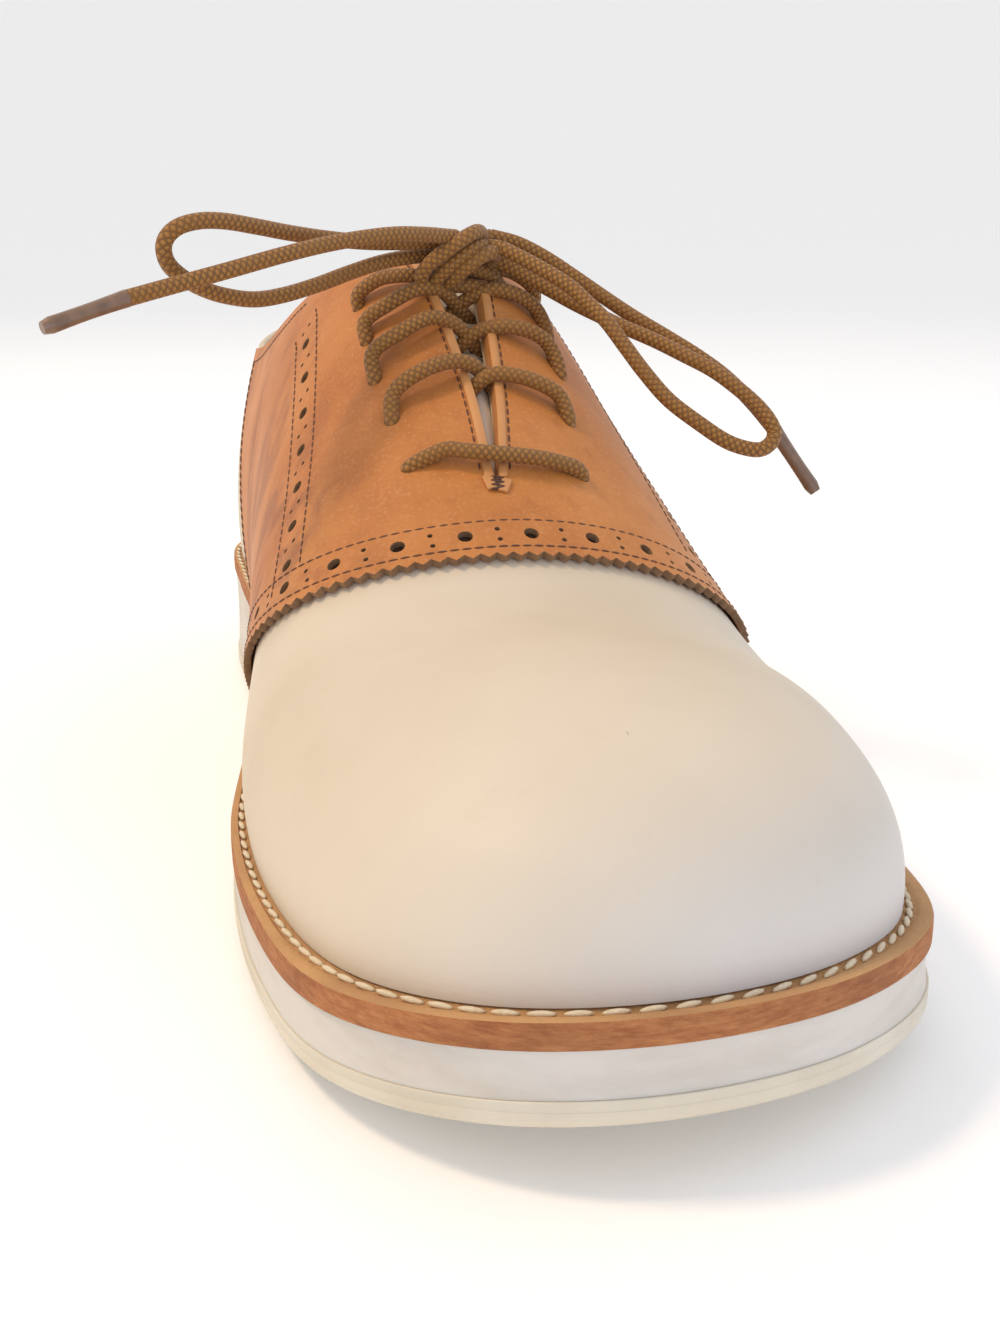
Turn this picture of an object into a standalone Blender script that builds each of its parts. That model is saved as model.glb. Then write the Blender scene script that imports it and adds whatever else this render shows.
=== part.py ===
"""Left saddle shoe: a wedge-soled oxford with a tan saddle over an ivory upper.

The toe points along -Y, the big-toe side is -X and the floor is Z = 0. The origin lies
on the floor under the middle of the sole's length. All sizes are in metres.
"""

import bisect
import math
from collections import namedtuple

import bmesh
import bpy
from mathutils import Matrix, Vector

MM = 0.001

# Sole and welt
LENGTH = 300 * MM            # outsole, toe tip to heel back
BALL_WIDTH = 109 * MM        # outsole across the ball
OUTSOLE_THICKNESS = 3.8 * MM
WELT_THICKNESS = 3.9 * MM
WELT_REACH = 4.6 * MM        # welt beyond the upper, at the toe
WELT_RING = 11 * MM          # width of the welt's ring, under the upper
TOE_SEAT = 14.4 * MM         # floor to the top of the welt, at the ball
HEEL_SEAT = 29 * MM          # the same, at the heel
TOE_SPRING = 10 * MM         # lift of the sole's tip
HEEL_SPRING = 1.2 * MM       # lift of the sole's last edge
OUTSOLE_ROUND = 1.5 * MM     # rounding of the outsole's lower edge
FOAM_INSET = 0.4 * MM        # the foam's side stands in from the welt and the outsole
BALL_SHARE = 0.30            # where the flat of the sole starts, from the toe
RAMP_START, RAMP_END = 0.36, 0.74   # the wedge climbs between these shares of the length

# Upper and saddle
WALL = 1.7 * MM              # leather and lining
SADDLE_THICKNESS = 1.3 * MM
GAP = 0.3 * MM               # between pieces that meet
LEATHER_GAP = 0.6 * MM       # between curved layers, whose flat facets differ
BULGE = 3 * MM               # how far a wall can swell past its feather line
CREST_HEIGHT = 114 * MM      # the last's ridge at its highest, over the collar
BACK_HEIGHT = 86 * MM        # floor to the collar, at the heel
THROAT_FOOT = 116 * MM       # toe tip to the foot of the lacing slot
THROAT_TOP = 176 * MM        # toe tip to the top of the facings
SLOT_LOW = 0.9 * MM          # half width of the slot at its foot
SLOT_HIGH = 5.5 * MM         # half width of the slot at its top
CORNER_SOFTNESS = 7 * MM     # rounding of the facing's top corner
SADDLE_RIDGE = 99 * MM       # saddle's front edge on the ridge, from the toe tip
SADDLE_FOOT_MEDIAL = 157 * MM    # its front edge at the welt, on each side
SADDLE_FOOT_LATERAL = 150 * MM
SWEEP_MEDIAL = 0.87          # how soon the front edge turns down the side
SWEEP_LATERAL = 0.60
REAR_TOP = 226 * MM          # saddle's rear edge at the collar
REAR_FOOT = 212 * MM         # saddle's rear edge at the welt

# Tongue and insole
TONGUE_THICKNESS = 2.4 * MM
TONGUE_GAP = 1 * MM          # between the tongue and the lining
TONGUE_LEAN = 2.5 * MM       # how much further in its top stands
TONGUE_START = 98 * MM       # tongue's lower end, from the toe tip
TONGUE_END = 186 * MM        # tongue's top
TONGUE_LOW = 17 * MM         # half width at the lower end
TONGUE_HIGH = 22 * MM        # half width at the top
INSOLE_THICKNESS = 3 * MM

# Lacing
LACE = 2.9 * MM              # diameter of the round lace
EYELET_ROWS = 5
EYELET_FIRST = 121 * MM      # first row, from the toe tip
EYELET_LAST = 167.5 * MM     # last row
EYELET_LOW = 17 * MM         # eyelet from the ridge, over the leather, at the first row
EYELET_HIGH = 19.5 * MM      # the same at the last row
EYELET_LIFT = 0.5 * MM       # a bar's end over the leather, at its eyelet
BAR_ARCH = 3.2 * MM          # rise of a bar between eyelet and slot
FIRST_BAR_ARCH = 1.4 * MM    # the lowest bar lies almost straight
BAR_DIP = 0.4                # how far a bar dips into the slot, as a share of its width
KNOT_WIDTH = 12.4 * MM       # the bow's knot, across the shoe, along it and high
KNOT_LENGTH = 9.6 * MM
KNOT_HEIGHT = 8.4 * MM

# Mesh densities
COLUMNS = 40                 # columns of a surface from toe to heel, on each side
ROWS = 10                    # rows of the upper from welt to ridge

# Outline of the outsole. t runs from the toe tip (0) to the heel (1); medial and lateral
# are shares of BALL_WIDTH; reach is a share of WELT_REACH, on each side.
Plan = namedtuple("Plan", "t medial lateral reach_m reach_l")
PLAN = [
    Plan(0.0, -0.083, -0.083, 1.00, 1.00),
    Plan(0.1, -0.297, 0.161, 1.00, 1.00),
    Plan(0.2, -0.442, 0.360, 1.00, 0.95),
    Plan(0.3, -0.490, 0.455, 0.75, 0.80),
    Plan(0.4, -0.486, 0.503, 0.60, 0.75),
    Plan(0.5, -0.408, 0.473, 0.55, 0.70),
    Plan(0.6, -0.351, 0.394, 0.45, 0.65),
    Plan(0.7, -0.341, 0.365, 0.40, 0.75),
    Plan(0.8, -0.319, 0.326, 0.50, 0.80),
    Plan(0.9, -0.197, 0.197, 0.70, 0.80),
    Plan(1.0, 0.000, 0.000, 0.80, 0.80),
]

# Sections of the last. rise and shoulder shape a wall from the feather line to the ridge
# (as shares of its height and half width), bulge is a share of BULGE; the first of each
# pair is medial, the second lateral.
Wall = namedtuple("Wall", "t rise_m rise_l shoulder_m shoulder_l bulge_m bulge_l")
WALLS = [
    Wall(0.0, 0.62, 0.62, 0.66, 0.66, 0.5, 0.5),
    Wall(0.1, 0.61, 0.62, 0.67, 0.68, 0.6, 0.5),
    Wall(0.2, 0.60, 0.62, 0.68, 0.68, 0.8, 0.5),
    Wall(0.3, 0.59, 0.60, 0.69, 0.67, 1.0, 0.6),
    Wall(0.4, 0.57, 0.52, 0.69, 0.59, 1.3, 0.7),
    Wall(0.5, 0.54, 0.43, 0.67, 0.53, 1.5, 0.7),
    Wall(0.6, 0.52, 0.43, 0.62, 0.53, 1.5, 0.8),
    Wall(0.7, 0.51, 0.47, 0.57, 0.53, 1.4, 1.0),
    Wall(0.8, 0.51, 0.51, 0.52, 0.51, 1.3, 1.2),
    Wall(0.9, 0.54, 0.54, 0.50, 0.50, 1.3, 1.3),
    Wall(1.0, 0.55, 0.55, 0.50, 0.50, 1.2, 1.2),
]

# Ridge of the last, from the top of the toe box to the cone over the heel. back is a
# share of LENGTH, height of CREST_HEIGHT and off (towards the big toe) of BALL_WIDTH.
Ridge = namedtuple("Ridge", "t back height off")
RIDGES = [
    Ridge(0.0, 0.100, 0.4377, -0.064),
    Ridge(0.1, 0.105, 0.4393, -0.064),
    Ridge(0.2, 0.127, 0.4462, -0.069),
    Ridge(0.3, 0.200, 0.4693, -0.073),
    Ridge(0.4, 0.315, 0.4851, -0.055),
    Ridge(0.5, 0.455, 0.7189, -0.002),
    Ridge(0.6, 0.605, 0.9719, 0.005),
    Ridge(0.7, 0.755, 0.9833, 0.005),
    Ridge(0.8, 0.875, 1.0088, 0.000),
    Ridge(0.9, 0.945, 1.0044, 0.000),
    Ridge(1.0, 0.965, 1.0000, 0.000),
]

# Routes of the bow's cords, as chosen points in millimetres. Each starts at the knot,
# and a loop comes back to it. The free ends carry on in the aglets.
KNOT_AT = (3.0, 10.0, 109.0)
LOOP_MEDIAL = [
    (-3.5, 9.1, 110.9), (-11.0, 6.0, 110.6), (-19.0, 2.5, 110.3), (-27.0, -1.5, 110.8),
    (-34.5, -6.0, 111.5), (-41.0, -10.5, 112.7), (-46.5, -14.0, 113.6), (-51.0, -16.5, 113.7),
    (-54.8, -18.0, 112.8), (-57.0, -18.3, 111.0), (-57.6, -18.0, 108.8), (-56.8, -17.2, 106.4),
    (-54.6, -16.0, 104.3), (-51.5, -14.7, 102.4), (-47.5, -12.5, 100.9), (-41.7, -9.0, 99.9),
    (-36.0, -6.0, 100.3), (-29.0, -2.0, 101.6), (-22.5, 2.0, 103.2), (-16.0, 5.5, 104.7),
    (-9.5, 8.8, 106.0), (-3.3, 11.2, 106.8),
]
LOOP_LATERAL = [
    (8.8, 7.1, 109.9), (14.0, 3.5, 106.8), (19.8, -1.0, 102.4), (22.8, -4.0, 98.9),
    (25.6, -8.0, 95.0), (28.6, -11.0, 90.3), (31.5, -14.0, 85.7), (35.5, -17.0, 80.6),
    (40.6, -20.0, 76.4), (46.0, -22.0, 72.8), (51.2, -23.0, 71.3), (54.0, -22.8, 72.1),
    (55.4, -22.0, 74.1), (54.7, -21.0, 76.5), (52.9, -19.0, 79.2), (49.8, -17.0, 82.2),
    (45.6, -14.0, 85.6), (40.6, -10.0, 88.5), (36.3, -6.0, 90.9), (31.9, -2.0, 93.0),
    (28.0, 1.5, 95.0), (23.9, 5.0, 97.2), (19.5, 8.0, 99.8), (14.0, 10.5, 103.0),
    (8.4, 11.8, 106.0),
]
END_MEDIAL = [
    (-0.7, 5.7, 110.4), (-8.5, 0.5, 111.0), (-16.0, -4.0, 111.0), (-26.5, -9.5, 109.8),
    (-36.0, -14.5, 108.0), (-47.0, -19.5, 105.4), (-56.0, -23.0, 103.3), (-64.5, -26.5, 101.3),
]
AGLET_MEDIAL = [(-64.9, -26.7, 101.2), (-78.5, -32.2, 97.0)]
END_LATERAL = [
    (8.1, 12.7, 112.3), (13.5, 12.3, 111.2), (19.0, 11.2, 108.3), (24.4, 9.5, 104.5),
    (29.8, 7.0, 100.3), (35.2, 3.5, 96.0), (41.0, -0.5, 91.9), (46.2, -4.5, 88.0),
    (50.8, -8.0, 83.6), (55.2, -11.0, 78.8), (58.9, -13.5, 73.9),
]
AGLET_LATERAL = [(59.1, -13.7, 73.5), (66.3, -18.3, 61.8)]

# Collar from the side: back is a share of LENGTH, height of BACK_HEIGHT.
Collar = namedtuple("Collar", "back height")
COLLAR = [
    Collar(0.50, 1.419),
    Collar(0.55, 1.314),
    Collar(0.60, 1.186),
    Collar(0.65, 1.070),
    Collar(0.70, 0.983),
    Collar(0.78, 0.907),
    Collar(0.88, 0.924),
    Collar(0.97, 1.000),
    Collar(1.05, 1.058),
]


def spline(knots, values, x):
    """A smooth curve through the values, flat past its ends."""
    if x <= knots[0]:
        return values[0]
    if x >= knots[-1]:
        return values[-1]
    i = bisect.bisect_right(knots, x) - 1
    slope = []
    for k in (i, i + 1):
        a, b = max(k - 1, 0), min(k + 1, len(knots) - 1)
        slope.append((values[b] - values[a]) / (knots[b] - knots[a]))
    width = knots[i + 1] - knots[i]
    u = (x - knots[i]) / width
    rise = values[i + 1] - values[i]
    bend = slope[0] * width - rise
    turn = rise - slope[1] * width
    return values[i] + rise * u + u * (1 - u) * (bend * (1 - u) + turn * u)


def column(rows, name, x):
    """One named column of a table, at x in its first column."""
    return spline([row[0] for row in rows], [getattr(row, name) for row in rows], x)


def around(rows, medial, lateral, w):
    """A pair of columns as one closed curve: w is -1 to 0 on the medial side, 0 to 1 on
    the lateral, 0 at the toe and 1 or -1 at the heel."""
    w = (w + 1) % 2 - 1
    inner = [(-row.t, getattr(row, medial)) for row in reversed(rows)]
    outer = [(row.t, getattr(row, lateral)) for row in rows[1:]]
    before = [(-2 + row.t, getattr(row, lateral)) for row in rows[-3:-1]]
    after = [(2 - row.t, getattr(row, medial)) for row in reversed(rows[-3:-1])]
    ring = before + inner + outer + after
    return spline([k for k, _ in ring], [v for _, v in ring], w)


def along(w):
    """Distance from the toe tip of a point of the outline; even steps of w round both
    ends off."""
    return LENGTH * (1 - math.cos(math.pi * abs(w))) / 2


def place(x, back, z):
    """A point from its distance behind the toe tip."""
    return Vector((x, back - LENGTH / 2, z))


def outline(w, inset=0.0):
    """The sole's outline seen from above, moved in by inset: its x and its distance from
    the toe tip."""

    def raw(q):
        q = (q + 1) % 2 - 1
        return Vector((around(PLAN, "medial", "lateral", q) * BALL_WIDTH, along(q)))

    step = 0.004
    tangent = (raw(w + step) - raw(w - step)).normalized()
    inward = Vector((-tangent.y, tangent.x))
    return raw(w) + inward * inset


def smooth_step(share):
    share = min(max(share, 0.0), 1.0)
    return share * share * (3 - 2 * share)


def floor_line(back):
    """Underside of the sole: flat from ball to heel, sprung at the toe."""
    ball = BALL_SHARE * LENGTH
    toe = max(0.0, (ball - back) / ball)
    heel = max(0.0, (back - 0.93 * LENGTH) / (0.07 * LENGTH))
    return TOE_SPRING * toe ** 1.9 + HEEL_SPRING * heel ** 2


def seat_line(back):
    """Top of the welt, which the upper stands on."""
    climb = smooth_step((back / LENGTH - RAMP_START) / (RAMP_END - RAMP_START))
    ball = BALL_SHARE * LENGTH
    toe = max(0.0, (ball - back) / ball)
    return TOE_SEAT + (HEEL_SEAT - TOE_SEAT) * climb + TOE_SPRING * toe ** 1.9


def feather(w):
    """Where the upper meets the welt."""
    reach = around(PLAN, "reach_m", "reach_l", w) * WELT_REACH
    flat = outline(w, reach)
    return place(flat.x, flat.y, seat_line(flat.y) + GAP)


def ridge(t):
    """The last's ridge line."""
    return place(
        column(RIDGES, "off", t) * BALL_WIDTH,
        column(RIDGES, "back", t) * LENGTH,
        column(RIDGES, "height", t) * CREST_HEIGHT,
    )


def ridge_slope(t):
    step = 0.05
    low, high = ridge(max(t - step, 0.0)), ridge(min(t + step, 1.0))
    return (high.z - low.z) / (high.y - low.y)


class Section:
    """One wall of the last, from the feather line up to the ridge."""

    cache = {}

    def __init__(self, w):
        t = abs((w + 1) % 2 - 1)
        self.foot = feather(w)
        self.top = ridge(t)
        out = Vector((self.foot.x - self.top.x, self.foot.y - self.top.y, 0))
        height = self.top.z - self.foot.z
        rise = around(WALLS, "rise_m", "rise_l", w)
        shoulder = around(WALLS, "shoulder_m", "shoulder_l", w)
        bulge = around(WALLS, "bulge_m", "bulge_l", w) * BULGE
        side = out.normalized()
        self.low = self.foot + Vector((0, 0, rise * height)) + side * bulge
        fall = Vector((0, 0, out.y * ridge_slope(t)))
        self.high = self.top + (out + fall) * shoulder

    @classmethod
    def at(cls, w):
        key = round(((w + 1) % 2 - 1) * 1e6)
        if key not in cls.cache:
            cls.cache[key] = cls(w)
        return cls.cache[key]

    def point(self, v):
        u = 1 - v
        return (self.foot * u ** 3 + self.low * 3 * u * u * v
                + self.high * 3 * u * v * v + self.top * v ** 3)


def last(w, v, lift=0.0):
    """The upper's own surface: w around it, v from welt (0) to ridge (1), lifted off
    along its normal."""
    point = Section.at(w).point(v)
    if lift == 0.0:
        return point
    return point + normal(w, v) * lift


def normal(w, v):
    """Outward normal of the last."""
    step = 0.003
    across = Section.at(w + step).point(v) - Section.at(w - step).point(v)
    low, high = max(v - 0.01, 0.0), min(v + 0.01, 1.0)
    up = Section.at(w).point(high) - Section.at(w).point(low)
    return across.cross(up).normalized()


def back_of(point):
    return point.y + LENGTH / 2


def ridge_off(back):
    """Sideways place of the ridge, at a distance from the toe tip."""
    backs = [row.back * LENGTH for row in RIDGES]
    return spline(backs, [row.off * BALL_WIDTH for row in RIDGES], back)


def slot_half(back):
    """Half width of the lacing slot."""
    share = (back - THROAT_FOOT) / (THROAT_TOP - THROAT_FOOT)
    return SLOT_LOW + (SLOT_HIGH - SLOT_LOW) * share


def collar_height(back):
    backs = [row.back * LENGTH for row in COLLAR]
    return spline(backs, [row.height * BACK_HEIGHT for row in COLLAR], back)


def outside_trim(point):
    """Above zero where the collar or the slot cuts the last away."""
    back = back_of(point)
    over_collar = point.z - collar_height(back)
    behind = max(0.0, back - THROAT_TOP - CORNER_SOFTNESS)
    in_slot = slot_half(back) - abs(point.x - ridge_off(back)) - 2 * behind
    gap = over_collar - in_slot
    return (over_collar + in_slot + math.sqrt(gap * gap + CORNER_SOFTNESS ** 2)) / 2 \
        - CORNER_SOFTNESS / 8


def solve(miss, low, high):
    """Where miss crosses zero from below, by halving."""
    for _ in range(26):
        middle = (low + high) / 2
        if miss(middle) > 0:
            high = middle
        else:
            low = middle
    return (low + high) / 2


T_FOOT = solve(lambda t: back_of(ridge(t)) - THROAT_FOOT, 0.2, 0.9)


def trim(w):
    """The v at which the wall ends: on the ridge, the facing's edge or the collar."""
    t = abs((w + 1) % 2 - 1)
    if t <= T_FOOT + 1e-6:
        return 1.0
    return solve(lambda v: outside_trim(Section.at(w).point(v)), 0.3, 1.0)


def new_object(name, vertices, faces, material):
    mesh = bpy.data.meshes.new(name)
    mesh.from_pydata([tuple(p) for p in vertices], [], faces)
    mesh.validate()
    mesh.materials.append(material)
    mesh.shade_smooth()
    mesh.set_sharp_from_angle(angle=math.radians(40))
    piece = bpy.data.objects.new(name, mesh)
    bpy.context.scene.collection.objects.link(piece)
    return piece


def material(name, hex_colour, roughness):
    """A plain material for one part."""
    made = bpy.data.materials.new(name)
    made.use_nodes = True
    shader = made.node_tree.nodes["Principled BSDF"]
    channels = [int(hex_colour[i:i + 2], 16) / 255 for i in (0, 2, 4)]
    linear = [c / 12.92 if c <= 0.04045 else ((c + 0.055) / 1.055) ** 2.4 for c in channels]
    shader.inputs["Base Color"].default_value = (*linear, 1)
    shader.inputs["Roughness"].default_value = roughness
    return made


class Skin:
    """Vertices and faces, with one vertex for each named place."""

    def __init__(self):
        self.points, self.index, self.faces = [], {}, []

    def vertex(self, key, point):
        if key not in self.index:
            self.index[key] = len(self.points)
            self.points.append(point)
        return self.index[key]

    def face(self, *corners):
        ring = [c for i, c in enumerate(corners) if c != corners[i - 1]]
        if len(ring) > 2:
            self.faces.append(tuple(ring))


def ring_stations(count):
    """Places around the outline, from -1 at the heel through 0 at the toe."""
    return [-1 + i / count for i in range(2 * count)]


def sole_layer(name, levels, colour):
    """A layer of the sole: levels go from its underside to its top, each an inset and a
    height over the distance from the toe tip."""
    skin = Skin()
    stations = ring_stations(COLUMNS)
    size = len(stations)
    for level, (inset, height) in enumerate(levels):
        for i, w in enumerate(stations):
            flat = outline(w, inset)
            skin.vertex((level, i), place(flat.x, flat.y, height(flat.y)))
    top = len(levels) - 1
    for level in range(top):
        for i in range(size):
            j = (i + 1) % size
            skin.face(skin.index[level, i], skin.index[level, j],
                      skin.index[level + 1, j], skin.index[level + 1, i])
    for i in range(COLUMNS):
        a, b = i, i + 1
        c, d = (size - i - 1) % size, (size - i) % size
        skin.face(*(skin.index[0, k] for k in (d, c, b, a)))
        skin.face(*(skin.index[top, k] for k in (a, b, c, d)))
    return new_object(name, skin.points, skin.faces, colour)


def make_outsole(colour):
    """Thin rubber sole with a rounded lower edge."""
    top = lambda back: floor_line(back) + OUTSOLE_THICKNESS
    return sole_layer("outsole", [
        (OUTSOLE_ROUND, floor_line),
        (OUTSOLE_ROUND * 0.3, lambda back: floor_line(back) + OUTSOLE_ROUND * 0.3),
        (0.0, lambda back: floor_line(back) + OUTSOLE_ROUND),
        (0.0, top),
    ], colour)


def make_midsole(colour):
    """Foam wedge, with a raised bed that fills the welt's ring."""
    under = lambda back: floor_line(back) + OUTSOLE_THICKNESS + GAP
    ledge = lambda back: seat_line(back) - WELT_THICKNESS - GAP
    return sole_layer("midsole", [
        (FOAM_INSET, under),
        (FOAM_INSET, ledge),
        (WELT_RING + GAP, ledge),
        (WELT_RING + GAP, seat_line),
    ], colour)


def make_welt(colour):
    """Leather ring between the foam and the upper."""
    skin = Skin()
    stations = ring_stations(COLUMNS)
    size = len(stations)
    corners = [
        (0.0, lambda back: seat_line(back) - WELT_THICKNESS),
        (0.0, lambda back: seat_line(back) - 0.5 * MM),
        (0.5 * MM, seat_line),
        (WELT_RING, seat_line),
        (WELT_RING, lambda back: seat_line(back) - WELT_THICKNESS),
    ]
    for i, w in enumerate(stations):
        for k, (inset, height) in enumerate(corners):
            flat = outline(w, inset)
            skin.vertex((k, i), place(flat.x, flat.y, height(flat.y)))
    for i in range(size):
        j = (i + 1) % size
        for k in range(len(corners)):
            m = (k + 1) % len(corners)
            skin.face(skin.index[k, i], skin.index[k, j],
                      skin.index[m, j], skin.index[m, i])
    return new_object("welt", skin.points, skin.faces, colour)


def make_insole(colour):
    """Sock-covered insole, which lies inside the upper."""
    inset = WELT_REACH + WALL + 4 * GAP
    low = lambda back: seat_line(back) + GAP
    high = lambda back: low(back) + INSOLE_THICKNESS
    return sole_layer("insole", [(inset, low), (inset, high)], colour)


def leather_shell(name, stations, v_rows, columns_of, lifts, colour, closed):
    """A wall between two lifts of the last. columns_of(k, side, share) gives w and v of
    column k at a share of its height; medial and lateral columns join on the ridge."""
    skin = Skin()
    layers = len(lifts)

    def corner(layer, side, k, j):
        w, v, joined = columns_of(stations[k], side, v_rows[j])
        lone = closed and k in (0, len(stations) - 1)
        shared = lone or (joined and j == len(v_rows) - 1)
        key = (layer, 0 if shared else side, k, j)
        if key in skin.index:
            return skin.index[key]
        point = last(w, v, lifts[layer])
        if j == 0:
            foot = Section.at(w).point(0.0)
            point = Vector((point.x, point.y, foot.z))
        return skin.vertex(key, point)

    for side in (-1, 1):
        for k in range(len(stations) - 1):
            for j in range(len(v_rows) - 1):
                for layer in range(layers):
                    ring = [corner(layer, side, k, j), corner(layer, side, k + 1, j),
                            corner(layer, side, k + 1, j + 1), corner(layer, side, k, j + 1)]
                    outward = (side > 0) == (layer == layers - 1)
                    skin.face(*(ring if outward else reversed(ring)))
    seams = {}
    for ring in skin.faces:
        for a, b in zip(ring, ring[1:] + ring[:1]):
            seams[a, b] = seams.get((a, b), 0) + 1
    names = {i: key for key, i in skin.index.items()}
    for a, b in list(seams):
        if (b, a) not in seams and names[a][0] == layers - 1:
            inner_a = skin.index[(0,) + names[a][1:]]
            inner_b = skin.index[(0,) + names[b][1:]]
            skin.face(b, a, inner_a, inner_b)
    return new_object(name, skin.points, skin.faces, colour)


def upper_stations():
    """Columns from toe to heel, with one exactly at the slot's foot."""
    before = max(4, round(COLUMNS * T_FOOT))
    after = COLUMNS - before
    front = [T_FOOT * i / before for i in range(before + 1)]
    return front + [T_FOOT + (1 - T_FOOT) * (i + 1) / after for i in range(after)]


def make_upper(colour):
    """One hollow wall over the last, open at the collar, the slot and underneath."""
    rows = [i / ROWS for i in range(ROWS + 1)]

    def column_at(t, side, share):
        w = side * t
        return w, share * trim(w), t <= T_FOOT + 1e-6

    return leather_shell("upper", upper_stations(), rows, column_at, (-WALL, 0.0),
                         colour, closed=True)


def edge_t(side, share, line):
    """Where a line that is given from the side crosses a row of the last."""

    def miss(t):
        w = side * t
        point = Section.at(w).point(share * trim(w))
        return back_of(point) - line(point.z, side)

    return solve(miss, 0.25, 0.93)


def front_line(z, side):
    """Saddle's front edge from the side, as distance from the toe tip at a height."""
    foot, sweep = SADDLE_FOOT_MEDIAL, SWEEP_MEDIAL
    if side > 0:
        foot, sweep = SADDLE_FOOT_LATERAL, SWEEP_LATERAL
    low = seat_line(foot)
    share = min(max((z - low) / (RIDGE_AT_SADDLE - low), 0.0), 1.0)
    return foot + (SADDLE_RIDGE - foot) * share ** sweep


def rear_line(z, side):
    """Saddle's rear edge from the side, the same on both sides."""
    low = seat_line(REAR_FOOT)
    high = collar_height(REAR_TOP)
    share = (z - low) / (high - low)
    return REAR_FOOT + (REAR_TOP - REAR_FOOT) * share


T_SADDLE = solve(lambda t: back_of(ridge(t)) - SADDLE_RIDGE, 0.2, 0.9)
RIDGE_AT_SADDLE = ridge(T_SADDLE).z


def make_saddle(colour):
    """The tan saddle over the instep, stitched on the upper, with the same slot."""
    rows = [i / ROWS for i in range(ROWS + 1)]
    edges = {}
    for side in (-1, 1):
        for share in rows:
            edges[side, share] = (edge_t(side, share, front_line),
                                  edge_t(side, share, rear_line))
    stations = {}
    for side in (-1, 1):
        front, rear = edges[side, 1.0]
        knee = (T_FOOT - front) / (rear - front)
        stations[side] = [knee * i / 3 for i in range(4)]
        stations[side] += [knee + (1 - knee) * (i + 1) / 14 for i in range(14)]
    count = len(stations[1])

    def column_at(k, side, share):
        front, rear = edges[side, share]
        t = front + (rear - front) * stations[side][k]
        w = side * t
        joined = k <= 3
        if joined and share == 1.0:
            t = min(t, T_FOOT)
            return side * t, 1.0, True
        return w, share * trim(w), joined

    lifts = (LEATHER_GAP, LEATHER_GAP + SADDLE_THICKNESS)
    return leather_shell("saddle", list(range(count)), rows, column_at, lifts, colour,
                         closed=False)


def t_at_back(back):
    return solve(lambda t: back_of(ridge(t)) - back, 0.1, 0.99)


def v_at_half(w, half):
    """Where a wall comes within half of the ridge, measured sideways."""
    section = Section.at(w)
    return solve(lambda v: half - abs(section.point(v).x - section.top.x), 0.2, 1.0)


def make_tongue(colour):
    """Soft tongue under the facings, from inside the vamp to above the collar."""
    skin = Skin()
    lengthwise, across = 18, 6
    start, end = t_at_back(TONGUE_START), t_at_back(TONGUE_END)
    for i in range(lengthwise + 1):
        share = i / lengthwise
        t = start + (end - start) * share
        half = TONGUE_LOW + (TONGUE_HIGH - TONGUE_LOW) * share
        top = -WALL - TONGUE_GAP - TONGUE_LEAN * share ** 2
        for j in range(-across, across + 1):
            side = -1 if j < 0 else 1
            edge = v_at_half(side * t, half)
            v = 1 - (1 - edge) * abs(j) / across
            for layer, lift in enumerate((top - TONGUE_THICKNESS, top)):
                skin.vertex((layer, i, j), last(side * t, v, lift))
    for i in range(lengthwise):
        for j in range(-across, across):
            for layer in (0, 1):
                ring = [skin.index[layer, i, j], skin.index[layer, i, j + 1],
                        skin.index[layer, i + 1, j + 1], skin.index[layer, i + 1, j]]
                skin.face(*(ring if layer else reversed(ring)))
    edge = [(0, j) for j in range(-across, across)]
    edge += [(i, across) for i in range(lengthwise)]
    edge += [(lengthwise, j) for j in range(across, -across, -1)]
    edge += [(i, -across) for i in range(lengthwise, 0, -1)]
    for a, b in zip(edge, edge[1:] + edge[:1]):
        skin.face(skin.index[(1,) + b], skin.index[(1,) + a],
                  skin.index[(0,) + a], skin.index[(0,) + b])
    return new_object("tongue", skin.points, skin.faces, colour)


def v_at_reach(w, reach):
    """Where a wall is a length of leather down from the ridge."""
    section = Section.at(w)
    steps = 60
    length, before = 0.0, section.top
    for i in range(1, steps + 1):
        point = section.point(1 - i / steps)
        length += (point - before).length
        if length >= reach:
            return 1 - i / steps
        before = point
    return 0.0


def eyelet_reach(row):
    """How far down the leather a row's eyelets are from the ridge."""
    return EYELET_LOW + (EYELET_HIGH - EYELET_LOW) * row / (EYELET_ROWS - 1)


def eyelet(row, side, lift):
    """An eyelet's centre and the outward direction there."""
    share = row / (EYELET_ROWS - 1)
    back = EYELET_FIRST + (EYELET_LAST - EYELET_FIRST) * share
    reach = eyelet_reach(row)

    def miss(t):
        return back_of(Section.at(side * t).point(v_at_reach(side * t, reach))) - back

    t = solve(miss, 0.3, 0.8)
    v = v_at_reach(side * t, reach)
    return last(side * t, v, lift), normal(side * t, v)


def tube(name, points, diameter, colour, sides=2):
    """A round cord along a smooth curve through the points."""
    curve = bpy.data.curves.new(name, "CURVE")
    curve.dimensions = "3D"
    curve.bevel_depth = diameter / 2
    curve.bevel_resolution = sides
    curve.use_fill_caps = True
    line = curve.splines.new("POLY")
    line.points.add(len(points) - 1)
    for place_on, point in zip(line.points, points):
        place_on.co = (*point, 1)
    curve.materials.append(colour)
    piece = bpy.data.objects.new(name, curve)
    bpy.context.scene.collection.objects.link(piece)
    return piece


def smooth_path(points, steps):
    """Points along a smooth curve through the chosen ones."""
    knots = list(range(len(points)))
    axes = [[p[axis] for p in points] for axis in range(3)]
    last_knot = knots[-1]
    shares = [last_knot * i / steps for i in range(steps + 1)]
    return [Vector([spline(knots, values, s) for values in axes]) for s in shares]


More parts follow.
